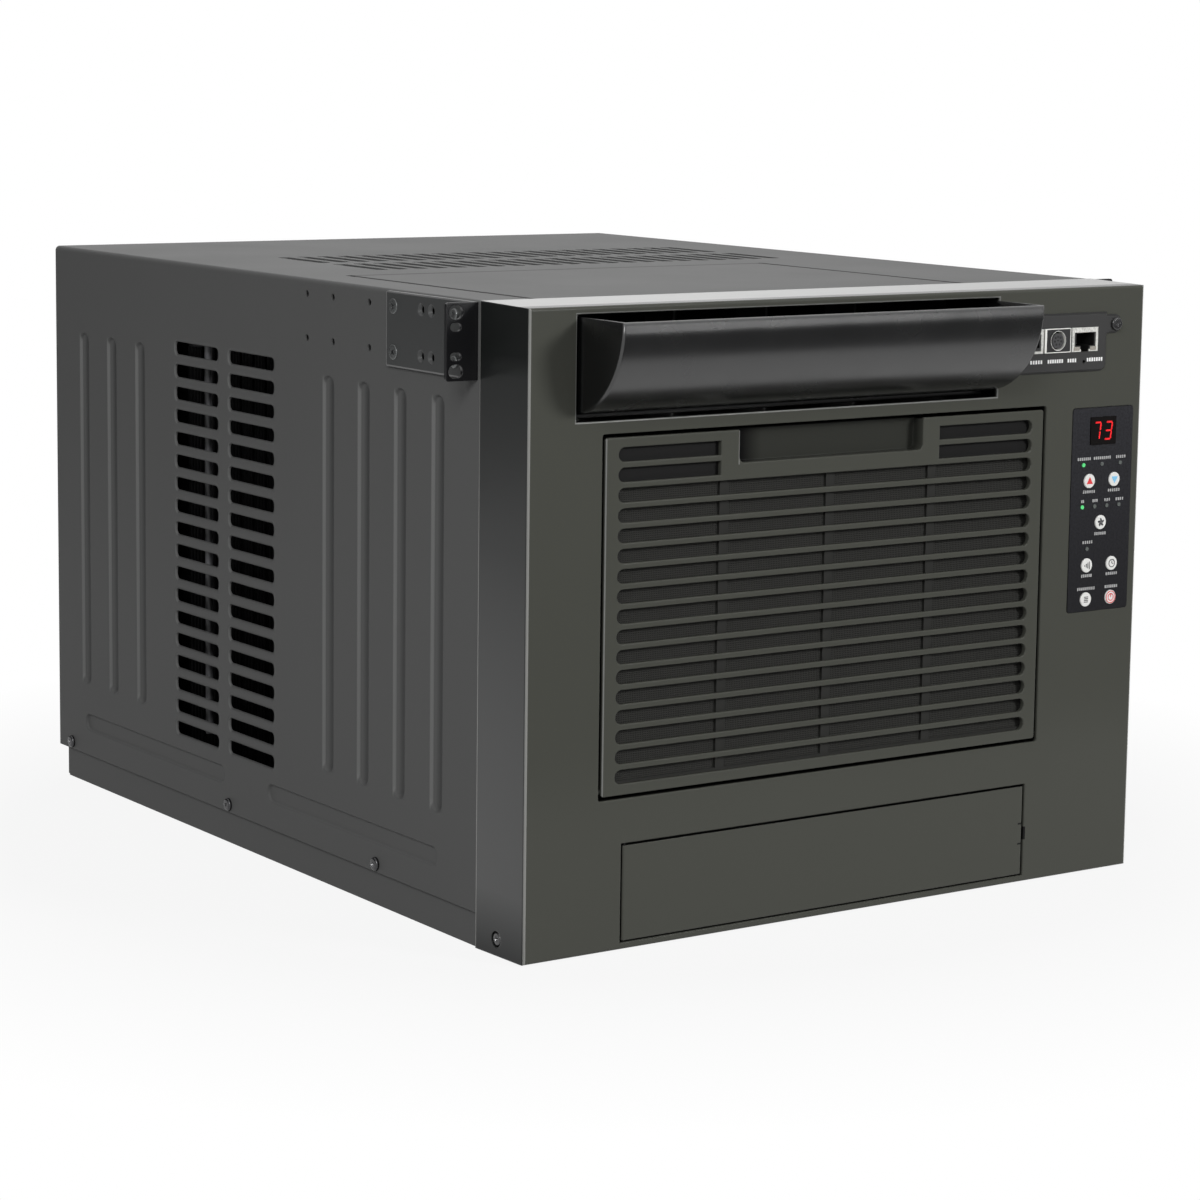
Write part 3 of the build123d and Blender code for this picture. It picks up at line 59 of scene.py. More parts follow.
class Wire:
    """A value on its way through a material's nodes: arithmetic on it adds Math nodes."""

    def __init__(self, socket):
        self.socket = socket
        self.tree = socket.id_data

    def node(self, kind, settings, sockets, output=0):
        """Adds a node: first its settings, then the values or wires of its sockets."""
        made = self.tree.nodes.new(kind)
        for name, value in settings.items():
            setattr(made, name, value)
        for name, value in sockets.items():
            if isinstance(value, Wire):
                self.tree.links.new(value.socket, made.inputs[name])
            else:
                made.inputs[name].default_value = value
        return Wire(made.outputs[output])

    def math(self, operation, first, second=0.0):
        return self.node("ShaderNodeMath", {"operation": operation}, {0: first, 1: second})

    def __add__(self, other):
        return self.math("ADD", self, other)

    def __radd__(self, other):
        return self.math("ADD", other, self)

    def __sub__(self, other):
        return self.math("SUBTRACT", self, other)

    def __rsub__(self, other):
        return self.math("SUBTRACT", other, self)

    def __mul__(self, other):
        return self.math("MULTIPLY", self, other)

    def __rmul__(self, other):
        return self.math("MULTIPLY", other, self)

    def __lt__(self, other):
        return self.math("LESS_THAN", self, other)

    def __gt__(self, other):
        return self.math("GREATER_THAN", self, other)

    def size(self):
        return self.math("ABSOLUTE", self)

    def either(self, other):
        return self.math("MAXIMUM", self, other)

    def lesser(self, other):
        return self.math("MINIMUM", self, other)

    def ramp(self, low, high, out_low=0.0, out_high=1.0, kind="LINEAR"):
        """Spreads the value from one range to another, and holds it at the ends."""
        sockets = {"Value": self, "From Min": low, "From Max": high, "To Min": out_low, "To Max": out_high}
        return self.node("ShaderNodeMapRange", {"interpolation_type": kind}, sockets)

    def mix(self, colour_a, colour_b):
        """Goes from one colour to another as the value goes from nought to one."""
        sockets = {"Factor": self, 6: four(colour_a), 7: four(colour_b)}
        return self.node("ShaderNodeMix", {"data_type": "RGBA"}, sockets, 2)

    def noise(self, size, detail=2.0, roughness=0.5):
        """Cloudy noise over the place that this wire holds."""
        sockets = {"Vector": self, "Scale": 1 / size, "Detail": detail, "Roughness": roughness}
        return self.node("ShaderNodeTexNoise", {}, sockets)

    def axis(self, number):
        """How far across, deep or up the place lies that this wire holds."""
        return self.node("ShaderNodeSeparateXYZ", {}, {0: self}, number)

    def axes(self):
        return tuple(self.axis(number) for number in range(3))

    def waves(self, axis, step):
        """Even waves along one axis of the place that this wire holds."""
        sockets = {"Vector": self, "Scale": WAVE_LENGTH / step}
        return self.node("ShaderNodeTexWave", {"bands_direction": axis}, sockets, 1)

    def bump(self, height, strength=1.0, over=None):
        """A bump as high, in metres, as this wire times the height, over a normal if one is given."""
        sockets = {"Height": self, "Distance": height, "Strength": strength}
        if over:
            sockets["Normal"] = over
        return self.node("ShaderNodeBump", {}, sockets)

    def soft_edges(self, radius, samples=6):
        """A normal that rounds the edges of the mesh."""
        return self.node("ShaderNodeBevel", {"samples": samples}, {"Radius": radius})

    def feed(self, shader, socket):
        self.tree.links.new(self.socket, shader.inputs[socket])


def four(colour):
    """A colour as a socket takes it: a wire, three parts, or one number for a grey."""
    if isinstance(colour, Wire):
        return colour
    parts = colour if isinstance(colour, tuple) else (colour,) * 3
    return (*parts, 1)


def new_finish(name, colour, roughness, **constants):
    """A material with its constants set on the shader, and the Object coordinates to paint it by."""
    finish = bpy.data.materials.new(name)
    finish.use_nodes = True
    shader = finish.node_tree.nodes["Principled BSDF"]
    shader.inputs["Base Color"].default_value = four(colour)
    shader.inputs["Roughness"].default_value = roughness
    for socket, value in constants.items():
        shader.inputs[socket.replace("_", " ")].default_value = value
    place = Wire(finish.node_tree.nodes.new("ShaderNodeTexCoord").outputs["Object"])
    return finish, shader, place


def seen_directly(tree):
    """One for rays of the camera, of gloss and of glass, and nought for the rest."""
    path = tree.nodes.new("ShaderNodeLightPath").outputs
    camera_or_gloss = Wire(path["Is Camera Ray"]).either(Wire(path["Is Glossy Ray"]))
    return camera_or_gloss.either(Wire(path["Is Transmission Ray"]))


def clear_selection():
    bpy.ops.object.select_all(action="DESELECT")


bpy.context.scene.view_settings.view_transform = "Standard"
world = bpy.data.worlds.new("studio")
bpy.context.scene.world = world
world.use_nodes = True
surround = world.node_tree.nodes["Background"]
surround.inputs["Color"].default_value = (1, 1, 1, 1)
seen_directly(world.node_tree).ramp(0, 1, SURROUND_LIGHT, 1.0).feed(surround, "Strength")

clear_selection()
bpy.ops.mesh.primitive_plane_add(size=FLOOR_SIZE)
floor = bpy.context.object
floor.name = "floor"
floor_white, shader, place = new_finish("floor_white", FLOOR_GREY, 0.9, Specular_IOR_Level=0.0)
floor_tree = floor_white.node_tree
away = place.node("ShaderNodeVectorMath", {"operation": "LENGTH"}, {0: place}, "Value")
glow = place.node("ShaderNodeEmission", {}, {})
matt = Wire(shader.outputs["BSDF"])
share = seen_directly(floor_tree) * away.ramp(*SHADOW_REACH, FLOOR_GLOW_NEAR, 1.0)
surface = share.node("ShaderNodeMixShader", {}, {"Fac": share, 1: matt, 2: glow})
surface.feed(floor_tree.nodes["Material Output"], "Surface")
floor.data.materials.append(floor_white)

for name, (place, size, power) in LAMPS.items():
    bpy.ops.object.light_add(type="AREA", location=place)
    lamp = bpy.context.object
    lamp.name = f"lamp_{name}"
    lamp.data.size = size
    lamp.data.energy = power
    lamp.rotation_mode = "QUATERNION"
    lamp.rotation_quaternion = (LAMP_AIM - Vector(place)).to_track_quat("-Z", "Y")

# The camera, where the photograph was taken from: low, and a little to the left of the front.
# The view's axis isn't in the middle of the picture, so the lens is shifted.
PHOTO_WIDTH = 1200
FOCAL_LENGTH_PX = 3357.7
AXIS_PX = (635.35, 515.54)
SENSOR = 36.0
CAMERA_FROM_FRONT = (-1.1731, -1.4686, 0.4890)
CAMERA_HEADING, CAMERA_DIP, CAMERA_ROLL = 34.887, 7.906, 0.813


def turned(degrees, axis):
    return Matrix.Rotation(math.radians(degrees), 4, axis)


bezel_low, bezel_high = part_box("front_bezel")
front_y = bezel_low.y
bpy.ops.object.camera_add()
camera = bpy.context.object
camera.name = "camera"
camera.data.sensor_width = SENSOR
camera.data.lens = SENSOR * FOCAL_LENGTH_PX / PHOTO_WIDTH
camera.data.shift_x = (PHOTO_WIDTH / 2 - AXIS_PX[0]) / PHOTO_WIDTH
camera.data.shift_y = (AXIS_PX[1] - PHOTO_WIDTH / 2) / PHOTO_WIDTH
stand = Vector(CAMERA_FROM_FRONT) + Vector((0, front_y, 0))
aim = turned(-CAMERA_HEADING, "Z") @ turned(90 - CAMERA_DIP, "X") @ turned(CAMERA_ROLL, "Z")
camera.matrix_world = Matrix.Translation(stand) @ aim
bpy.context.scene.camera = camera

# Cards that only gloss sees, as a photographer sets them: one ahead of the front, one to the left and
# behind, one far behind. They keep the mouldings and the top from mirroring white all over, and give the
# hood its band. Each has a place, a width, a height, a heading, and greys from one place across to another.
CARDS = {
    "ahead": ((1.8, front_y - 0.35, 0.29), 4.0, 0.58, 0, (-1.0, 1.0), (0.17, 0.17)),
    "aside": ((-1.15, 1.3, 0.8), 3.0, 1.6, 35, (-1.0, 1.0), (0.06, 0.06)),
    "beyond": ((0.54, 0.78, 0.75), 2.4, 0.9, -35, (0.05, 0.45), (1.0, 0.84)),
}
for name, (place, width, height, heading, span, greys) in CARDS.items():
    constants = {"Specular_IOR_Level": 0.0, "Emission_Strength": 1.0}
    card_finish, shader, across_card = new_finish(f"card_{name}", 0.0, 0.5, **constants)
    across_card.axis(0).ramp(*span, *greys).feed(shader, "Emission Color")
    clear_selection()
    turn = (math.radians(90), 0, math.radians(heading))
    bpy.ops.mesh.primitive_plane_add(size=1, location=place, rotation=turn)
    card = bpy.context.object
    card.name = f"card_{name}"
    card.scale = (width, height, 1)
    bpy.ops.object.transform_apply(location=False, rotation=False, scale=True)
    card.data.materials.append(card_finish)
    for rays in ("camera", "diffuse", "transmission", "shadow"):
        setattr(card, f"visible_{rays}", False)

# Cabinet sheet metal: the folded wrap, pan, rear panel and guard, in dark grey powder paint with a fine
# orange peel. The press leaves soft shoulders on the wrap's ribs and draws the rims of its slots inwards.
# The ribs get a painted highlight behind and painted shade ahead, the slots a painted highlight at their
# rear ends, and painted shade darkens the line pressed into the top and the wrap behind the ears' spare
# holes.
CABINET_GREY = (0.124, 0.125, 0.124)
CABINET_PALE = (0.129, 0.130, 0.129)
# Painted shade along the line pressed into the top, wider than the groove.
CREASE_SHADE = 0.045
# Painted highlight on the ribs' rear shoulders and the slots' rear ends, painted shade ahead of the ribs.
PRESSED_HIGHLIGHT = (0.20, 0.202, 0.20)
PRESSED_SHADE = (0.074, 0.075, 0.075)
# Painted shade: black spots on the wrap behind the ears' spare holes.
SPARE_HOLE_SHADE = 0.002
CLOUD_SPAN = (0.3, 0.7)
CABINET_CLOUD = 90 * MM
CABINET_GLOSS = (CABINET_CLOUD, 0.42, 0.46)
PEEL = (1.1 * MM, 0.02 * MM, 0.5, 1.0)
SHEET_EDGE = 0.8 * MM
PRESSED_EDGE = 1.2 * MM
RIB_YS = (90.25, 130.55, 170.85, 211.15, 452.1, 492.4, 532.7)
RIB_SPAN, RIB_R = (67.5, 300.7), 6.5
RIB_SOFT, RIB_DIP = (0.5 * MM, 7.5 * MM), 1.1 * MM
RIB_HIGHLIGHT_AT, RIB_HIGHLIGHT_FADE = 6.0 * MM, (0.3 * MM, 1.1 * MM)
RIB_SHADE_AT, RIB_SHADE_FADE = -2.5 * MM, (0.5 * MM, 5.0 * MM)
RIB_ROUND, RIB_END_FADE = 3.0, (0.0, 3.0 * MM)
SLOT_YS, SLOT_HALF = (304.65, 375.15), 25.5
SLOT_FIRST, SLOT_PITCH, SLOT_ROWS = 61.3, 14.12, 18
SLOT_FLAT, SLOT_R, SLOT_MARGIN = 1.0, 3.0, 6.0
SLOT_LIP, SLOT_DIP = (0.0, 2.4 * MM), 0.8 * MM
SLOT_HIGHLIGHT_FADE = (0.4 * MM, 1.4 * MM)
PAST_ROWS_PUSH = 9
TOP_LINE_XS, TOP_LINE_BACK = (-185.0, 116.5), (242.0, 248.0)
TOP_LINE_HALF, TOP_LINE_DEEP = 1.2, 1.5
EAR_HOLE_YS, EAR_HOLE_ZS, EAR_HOLE_R = (94.8, 105.6), (346.0, 320.4), 2.2
wrap_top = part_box("cabinet_wrap")[1].z


def tint(shader, place, cloud, first, second):
    """Lets the colour drift from one to another, in clouds of a size."""
    place.noise(cloud).mix(first, second).feed(shader, "Base Color")


def vary_gloss(shader, place, cloud, least, most):
    """Lets the roughness drift from one value to another, in clouds of a size."""
    place.noise(cloud).ramp(*CLOUD_SPAN, least, most).feed(shader, "Roughness")


def grain(shader, place, size, height, strength, detail=2.0, over=None):
    """Gives a finish its fine grain, over a normal if one is given."""
    place.noise(size, detail).bump(height, strength, over).feed(shader, "Normal")


def coat_nodes(finish, *names):
    """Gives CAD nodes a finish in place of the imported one."""
    for name in names:
        nodes[name].data.materials.clear()
        nodes[name].data.materials.append(finish)


def beyond(value, low, high):
    """How far a value lies outside a range."""
    return (low - value).either(value - high).either(0.0)


def reach(first, second):
    """The length of two steps at a right angle."""
    squared = first * first + second * second
    return squared.math("SQRT", squared)


def near(distance, fade):
    """One up to the first distance of the fade, and nought from the second."""
    return 1 - distance.ramp(*fade)


def rib_ends(inset):
    """The heights of the ribs' two ends, less an inset in millimetres."""
    return (RIB_SPAN[0] + inset) * MM, (RIB_SPAN[1] - inset) * MM


def pressed_form(place):
    """The height of the wrap's sides, lower in ribs and at slot rims, and where they get painted highlight
    and shade.
    """
    deep = place.axis(1) - front_y
    up = place.axis(2)
    nearest, painted_highlight, shade = 1.0, 0.0, 0.0
    for y in RIB_YS:
        back = deep - y * MM
        nearest = back.size().lesser(nearest)
        painted_highlight = near((back - RIB_HIGHLIGHT_AT).size(), RIB_HIGHLIGHT_FADE).either(painted_highlight)
        shade = near((back - RIB_SHADE_AT).size(), RIB_SHADE_FADE).either(shade)
    along = near(beyond(up, *rib_ends(RIB_ROUND)), RIB_END_FADE)
    painted_highlight = painted_highlight * along
    shade = shade * along
    from_rib = reach(nearest, beyond(up, *rib_ends(RIB_R)))
    rib = from_rib.ramp(*RIB_SOFT, kind="SMOOTHSTEP")
    row = up - (SLOT_FIRST - SLOT_PITCH / 2) * MM
    row = row.math("FLOORED_MODULO", row, SLOT_PITCH * MM) - SLOT_PITCH / 2 * MM
    foot = (SLOT_FIRST - SLOT_MARGIN) * MM
    top = (SLOT_FIRST + SLOT_MARGIN + SLOT_PITCH * (SLOT_ROWS - 1)) * MM
    off_row = beyond(row.size(), 0.0, SLOT_FLAT * MM) + PAST_ROWS_PUSH * beyond(up, foot, top)
    rim = 1.0
    for y in SLOT_YS:
        off_end = beyond((deep - y * MM).size(), 0.0, SLOT_HALF * MM)
        off = reach(off_end, off_row) - SLOT_R * MM
        on_lip = near(off, SLOT_LIP)
        rim = rim - on_lip * on_lip
        painted_highlight = painted_highlight.either(near(off, SLOT_HIGHLIGHT_FADE) * (deep > (y + SLOT_HALF) * MM))
    return rib * RIB_DIP + rim * SLOT_DIP, painted_highlight, shade


# The wrap is painted black in these spots, a painted shade.
def ear_holes(place):
    """One where the spare holes of the rack ears are, and nought elsewhere."""
    found = 0.0
    for y in EAR_HOLE_YS:
        for z in EAR_HOLE_ZS:
            off = reach(place.axis(1) - front_y - y * MM, place.axis(2) - z * MM)
            found = (off < EAR_HOLE_R * MM).either(found)
    return found


def top_line(place):
    """One in the line pressed into the top, round three sides of a field, and nought elsewhere."""
    across, deep, up = place.axes()
    deep = deep - front_y
    first, last = (x * MM for x in TOP_LINE_XS)
    start, end = (y * MM for y in TOP_LINE_BACK)
    from_side = (across - first).size().lesser((across - last).size())
    at_back = (deep > start) * (across > first) * (across < last)
    on_top = (deep < end) * (up > wrap_top - TOP_LINE_DEEP * MM)
    return (from_side < TOP_LINE_HALF * MM).either(at_back) * on_top


for name, rounding, coated in (
    ("cabinet_paint", SHEET_EDGE, ("base_pan", "rear_panel", "exhaust_guard")),
    ("wrap_paint", PRESSED_EDGE, ("cabinet_wrap",)),
):
    cabinet_paint, shader, place = new_finish(name, CABINET_GREY, 0.44, Specular_IOR_Level=0.04)
    tone = place.noise(CABINET_CLOUD).mix(CABINET_GREY, CABINET_PALE)
    vary_gloss(shader, place, *CABINET_GLOSS)
    normal = place.soft_edges(rounding)
    if name == "wrap_paint":
        height, painted_highlight, shade = pressed_form(place)
        normal = height.bump(1.0, over=normal)
        # The ribs' and slots' painted highlight and the ribs' painted shade go into the colour.
        tone = painted_highlight.mix(shade.mix(tone, PRESSED_SHADE), PRESSED_HIGHLIGHT)
        # Painted shade in the top's pressed line, and black painted shade behind the ears' spare holes.
        tone = ear_holes(place).mix(top_line(place).mix(tone, CREASE_SHADE), SPARE_HOLE_SHADE)
    tone.feed(shader, "Base Color")
    grain(shader, place, *PEEL, over=normal)
    coat_nodes(cabinet_paint, *coated)

# Rack ears: bent steel angles in a darker satin paint, screwed to the cabinet's sides behind the bezel.
# The flange is painted black, a painted shade, and the plate's cut edges are painted pale, a painted
# highlight.
EAR_GREY = (0.058, 0.060, 0.060)
EAR_DARK = (0.054, 0.056, 0.056)
EAR_FLANGE_SHADE = (0.004, 0.004, 0.005)
EAR_CUT_HIGHLIGHT = 0.20
EAR_CLOUD = 40 * MM
CUT_WIDTH = 0.9 * MM
EAR_SHEET, FLANGE_MARGIN = 2.0, 0.3
ear_low, ear_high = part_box("left_rack_ear")
flange_back = ear_low.y + (EAR_SHEET + FLANGE_MARGIN) * MM
ear_paint, shader, place = new_finish("ear_paint", EAR_GREY, 0.36, Specular_IOR_Level=0.4)
plate_tone = place.noise(EAR_CLOUD).mix(EAR_DARK, EAR_GREY)
across, deep, up = place.axes()
cut_ends = (up < ear_low.z + CUT_WIDTH).either(up > ear_high.z - CUT_WIDTH)
cut = cut_ends.either(deep > ear_high.y - CUT_WIDTH)
# Painted shade on the flange and painted highlight on the plate's cut edges.
(deep < flange_back).mix(cut.mix(plate_tone, EAR_CUT_HIGHLIGHT), EAR_FLANGE_SHADE).feed(shader, "Base Color")
grain(shader, place, *PEEL, over=place.soft_edges(SHEET_EDGE, 4))
coat_nodes(ear_paint, "left_rack_ear", "right_rack_ear")

# Front mouldings: bezel, grille and door, in an olive dark grey plastic with a fine spark-eroded grain.
# The bezel's flanks are glossy and painted black, a painted shade, and their coat is set by height, a
# painted reflection. The front corners, the flanks' rear edges, the rim of the hood's opening and the left
# edges of the grille and the pull are painted pale, a painted highlight, and the rims and the top strip get
# a coat for a painted sheen. The walls in the gaps and openings and the door's seam, catch and snap marks
# are painted black, and the pull darker inside and towards its left end: all painted shade.
BEZEL_GREY = (0.0575, 0.0590, 0.0502)
BEZEL_PALE = (0.0595, 0.0610, 0.0522)
FLANK_SHADE = (0.0120, 0.0135, 0.0130)
EDGE_HIGHLIGHT = (0.22, 0.22, 0.21)
RIM_HIGHLIGHT = (0.15, 0.152, 0.145)
GAP_BLACK = 0.006
PULL_SHADE_GREY = (0.030, 0.031, 0.027)
FLANK_DEPTH, EDGE_DEPTH, EDGE_WIDTH = 1.3 * MM, 1.5 * MM, 0.8 * MM
FLANK_FALL = (60 * MM, 224 * MM, 0.82, 0.5)
FLANK_RISE = (224 * MM, 311 * MM, 0.0, 0.5)
FLANK_TOP = (316 * MM, 328 * MM, 1.0, 0.25)
FLANK_FOOT = (0.0, 36 * MM, 0.1, 1.0)
RIM_WIDTH, RIM_DEPTH = 0.8 * MM, 0.9 * MM
HOOD_OPENING = (-188.0, 105.0, 292.5, 350.0)
GRILLE_FACE = (-168.7, 141.4, 87.3, 283.2)
DOOR_FACE = (-155.3, 135.5, 4.7, 60.2)
PULL_BOX = (-80.5, 51.0, 264.0, 284.5)
CATCH = (135.3, 136.9, 26.5, 34.3)
SNAP_ZS, SNAP_L, SNAP_H = (36.5, 24.3), 4.6, 1.0
DOOR_SEAM = 1.2 * MM
GAP_FROM, GAP_TO, GAP_RIM = 0.9 * MM, 2.4 * MM, 0.7 * MM
PULL_FROM, PULL_TO = 1.5 * MM, 6.0 * MM
PULL_SHADE = (9.0 * MM, 22.0 * MM)
BEZEL_CLOUD = 60 * MM
BEZEL_GLOSS = (35 * MM, 0.18, 0.20)
MOULD_EDGE = 1.1 * MM
MOULD_GRAIN = (0.5 * MM, 0.01 * MM, 0.2)
bezel_plastic, shader, place = new_finish(
    "bezel_plastic", BEZEL_GREY, 0.19, Specular_IOR_Level=0.12, Coat_Roughness=0.3
)
across, deep, up = place.axes()


def within(low_x, high_x, low_z, high_z):
    """One inside an upright rectangle on the mouldings, and nought outside it."""
    return (across > low_x) * (across < high_x) * (up > low_z) * (up < high_z)


def grown(rectangle, by):
    """A rectangle grown on all sides, or shrunk."""
    low_x, high_x, low_z, high_z = rectangle
    return low_x - by, high_x + by, low_z - by, high_z + by


rectangles = (HOOD_OPENING, GRILLE_FACE, DOOR_FACE, PULL_BOX, CATCH)
opening, grille_face, door_face, pull_box, catch = ([value * MM for value in box] for box in rectangles)
outside = (up > bezel_low.z + GAP_RIM) * (up < bezel_high.z - GAP_RIM)
for face in (grille_face, door_face):
    outside = outside * (1 - within(*grown(face, -GAP_RIM)))
# Painted highlight round the hood's opening and on the left edges of the grille and the pull.
on_highlight_rim = within(*grown(opening, RIM_WIDTH))
for face in (grille_face, pull_box):
    on_highlight_rim = on_highlight_rim.either(within(face[0], face[0] + RIM_WIDTH, face[2], face[3]))
on_highlight_rim = on_highlight_rim * (deep < front_y + RIM_DEPTH)
# Painted shade in the door's seam, its catch and its snap marks.
snap = within(*catch).either(within(*door_face) - within(*grown(door_face, -DOOR_SEAM)))
for z in SNAP_ZS:
    snap_low, snap_high = (z - SNAP_H / 2) * MM, (z + SNAP_H / 2) * MM
    snap = snap.either(within(door_face[1] - SNAP_L * MM, door_face[1], snap_low, snap_high))
flank = across.size() > bezel_high.x - FLANK_DEPTH
# Painted shade on the walls in the gaps and openings, behind the face.
in_gap = outside * (1 - flank) * deep.ramp(front_y + GAP_FROM, front_y + GAP_TO)
# Painted shade inside the pull, darkest at its left end.
in_pull = within(*pull_box) * deep.ramp(front_y + PULL_FROM, front_y + PULL_TO)
painted_pull_shade = (across - pull_box[0]).ramp(*PULL_SHADE).mix(GAP_BLACK, PULL_SHADE_GREY)
# Painted highlight on the front corners and on the flanks' rear edges.
at_corner = (across.size() > bezel_high.x - EDGE_DEPTH) * (deep < front_y + EDGE_WIDTH)
edge_highlight = at_corner.either(flank * (deep > bezel_high.y - EDGE_WIDTH))
tone = place.noise(BEZEL_CLOUD).mix(BEZEL_GREY, BEZEL_PALE)
tone = in_gap.either(snap).mix(in_pull.mix(on_highlight_rim.mix(tone, RIM_HIGHLIGHT), painted_pull_shade), GAP_BLACK)
# Painted highlight on the edges and rims, painted shade on the flanks, in the gaps and in the pull.
edge_highlight.mix(flank.mix(tone, FLANK_SHADE), EDGE_HIGHLIGHT).feed(shader, "Base Color")
# Painted reflection: the flanks' coat is set by height; the rims and the top strip get a painted sheen.
flank_sheen = (up.ramp(*FLANK_FALL) + up.ramp(*FLANK_RISE)) * up.ramp(*FLANK_TOP) * up.ramp(*FLANK_FOOT)
(flank * flank_sheen).either(on_highlight_rim.either(up > bezel_high.z - GAP_RIM)).feed(shader, "Coat Weight")
vary_gloss(shader, place, *BEZEL_GLOSS)
grain(shader, place, *MOULD_GRAIN, over=place.soft_edges(MOULD_EDGE))
coat_nodes(bezel_plastic, "front_bezel", "intake_grille", "access_door")

# Air hood: a moulded quarter drum in black plastic with a soft gloss, its upper edge well rounded.
# It turns in its opening, about a line just under the opening's upper edge.
HOOD_BLACK = (0.0022, 0.0024, 0.0026)
HOOD_GLOSS = (25 * MM, 0.23, 0.28)
HOOD_GRAIN = (2 * MM, 0.01 * MM, 0.2)
HOOD_ROUNDING, HOOD_ROUNDING_DEPTH = 9 * MM, 2.2 * MM
hood_low, hood_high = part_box("air_hood")
hood_gloss, shader, place = new_finish("hood_gloss", HOOD_BLACK, 0.25, Specular_IOR_Level=0.9)
vary_gloss(shader, place, *HOOD_GLOSS)
lift = place.axis(2).ramp(hood_high.z - HOOD_ROUNDING, hood_high.z)
grain(shader, place, *HOOD_GRAIN, over=(1 - lift * lift).bump(HOOD_ROUNDING_DEPTH))
coat_nodes(hood_gloss, "air_hood")

# Inside mouldings, the compressor, the fan, its motor and the cord's gland: matt black, plastic or painted.
# Most are seen only through slots and openings, and one finish serves them all.
INSIDE_BLACK = 0.012
INSIDE_PALE = 0.018
INSIDE_CLOUD = 30 * MM
INSIDE_GLOSS = (INSIDE_CLOUD, 0.45, 0.65)
INSIDE_GRAIN = (0.6 * MM, 0.02 * MM, 0.5)
black_plastic, shader, place = new_finish("black_plastic", INSIDE_BLACK, 0.55)
tint(shader, place, INSIDE_CLOUD, INSIDE_BLACK, INSIDE_PALE)
vary_gloss(shader, place, *INSIDE_GLOSS)
grain(shader, place, *INSIDE_GRAIN)
coat_nodes(black_plastic, "cord_gland", "compressor", "fan_motor", "condenser_fan")
coat_nodes(black_plastic, "outlet_duct", "service_recess")

# Outlet vanes: thin upright blades moulded in a paler grey plastic.
# They stand behind the hood, in the mouth of the outlet's duct.
VANE_GREY = (0.075, 0.076, 0.074)
VANE_GLOSS = (20 * MM, 0.35, 0.5)
VANE_GRAIN = (0.6 * MM, 0.01 * MM, 0.4)
vane_plastic, shader, place = new_finish("vane_plastic", VANE_GREY, 0.4)
vary_gloss(shader, place, *VANE_GLOSS)
grain(shader, place, *VANE_GRAIN)
coat_nodes(vane_plastic, "outlet_vanes")

# Bulkhead and fan shroud: galvanised sheet, cut and folded, left bare with the zinc's spangle.
# The bulkhead parts the cold side from the warm one, and the shroud holds the fan's air in.
ZINC = (0.42, 0.43, 0.44)
ZINC_DARK = (0.30, 0.31, 0.32)
ZINC_GLOSS = (0.35, 0.55)
SPANGLE_SIZE = 9 * MM
galvanised, shader, place = new_finish("galvanised", ZINC, 0.45, Metallic=1.0)
spangle = place.node("ShaderNodeTexVoronoi", {}, {"Vector": place, "Scale": 1 / SPANGLE_SIZE}, 1)
tone = spangle.node("ShaderNodeSeparateColor", {}, {0: spangle})
tone.mix(ZINC_DARK, ZINC).feed(shader, "Base Color")
tone.ramp(0.0, 1.0, *ZINC_GLOSS).feed(shader, "Roughness")
coat_nodes(galvanised, "bulkhead", "fan_shroud")

# Evaporator and condenser: stacks of thin aluminium fins, the condenser's dipped black against corrosion.
# The fins stand upright, four to each groove of the solid.
FIN_STEP, FIN_RELIEF = 2.25 * MM, 0.3 * MM
# Each coil has its finish, its fins' colour and the painted shade between the fins.
FINS = {
    "evaporator_coil": ("fin_aluminium", (0.34, 0.35, 0.36), 0.04),
    "condenser_coil": ("fin_black", (0.014, 0.014, 0.015), 0.002),
}
for coil, (finish_name, fin_colour, shade) in FINS.items():
    fin_finish, shader, place = new_finish(finish_name, fin_colour, 0.45, Metallic=0.8)
    fins = place.waves("X", FIN_STEP)
    fins.mix(shade, fin_colour).feed(shader, "Base Color")
    fins.bump(FIN_RELIEF).feed(shader, "Normal")
    coat_nodes(fin_finish, coil)

# Air filter: a plastic frame with a deep black head and three bars, and a woven nylon mesh at its back.
# It sits close behind the grille and tilts with it.
MESH_DARK = 0.004
MESH_THREAD = (0.024, 0.024, 0.0215)
FRAME_GREY = (0.018, 0.018, 0.0165)
HEAD_BLACK = 0.003
MESH_STEP, MESH_DEPTH, MESH_RELIEF = 1.15 * MM, 0.96 * MM, 0.2 * MM
FILTER_HEAD = 24.5 * MM
filter_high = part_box("air_filter")[1]
filter_mesh, shader, place = new_finish("filter_mesh", MESH_DARK, 0.7, Specular_IOR_Level=0.2)
weave = place.waves("X", MESH_STEP).either(place.waves("Z", MESH_STEP))
on_mesh = place.axis(1) > filter_high.y - MESH_DEPTH
on_head = place.axis(2) > filter_high.z - FILTER_HEAD
cloth = on_mesh.mix(FRAME_GREY, weave.mix(MESH_DARK, MESH_THREAD))
on_head.mix(cloth, HEAD_BLACK).feed(shader, "Base Color")
(weave * on_mesh * (1 - on_head)).bump(MESH_RELIEF).feed(shader, "Normal")
coat_nodes(filter_mesh, "air_filter")

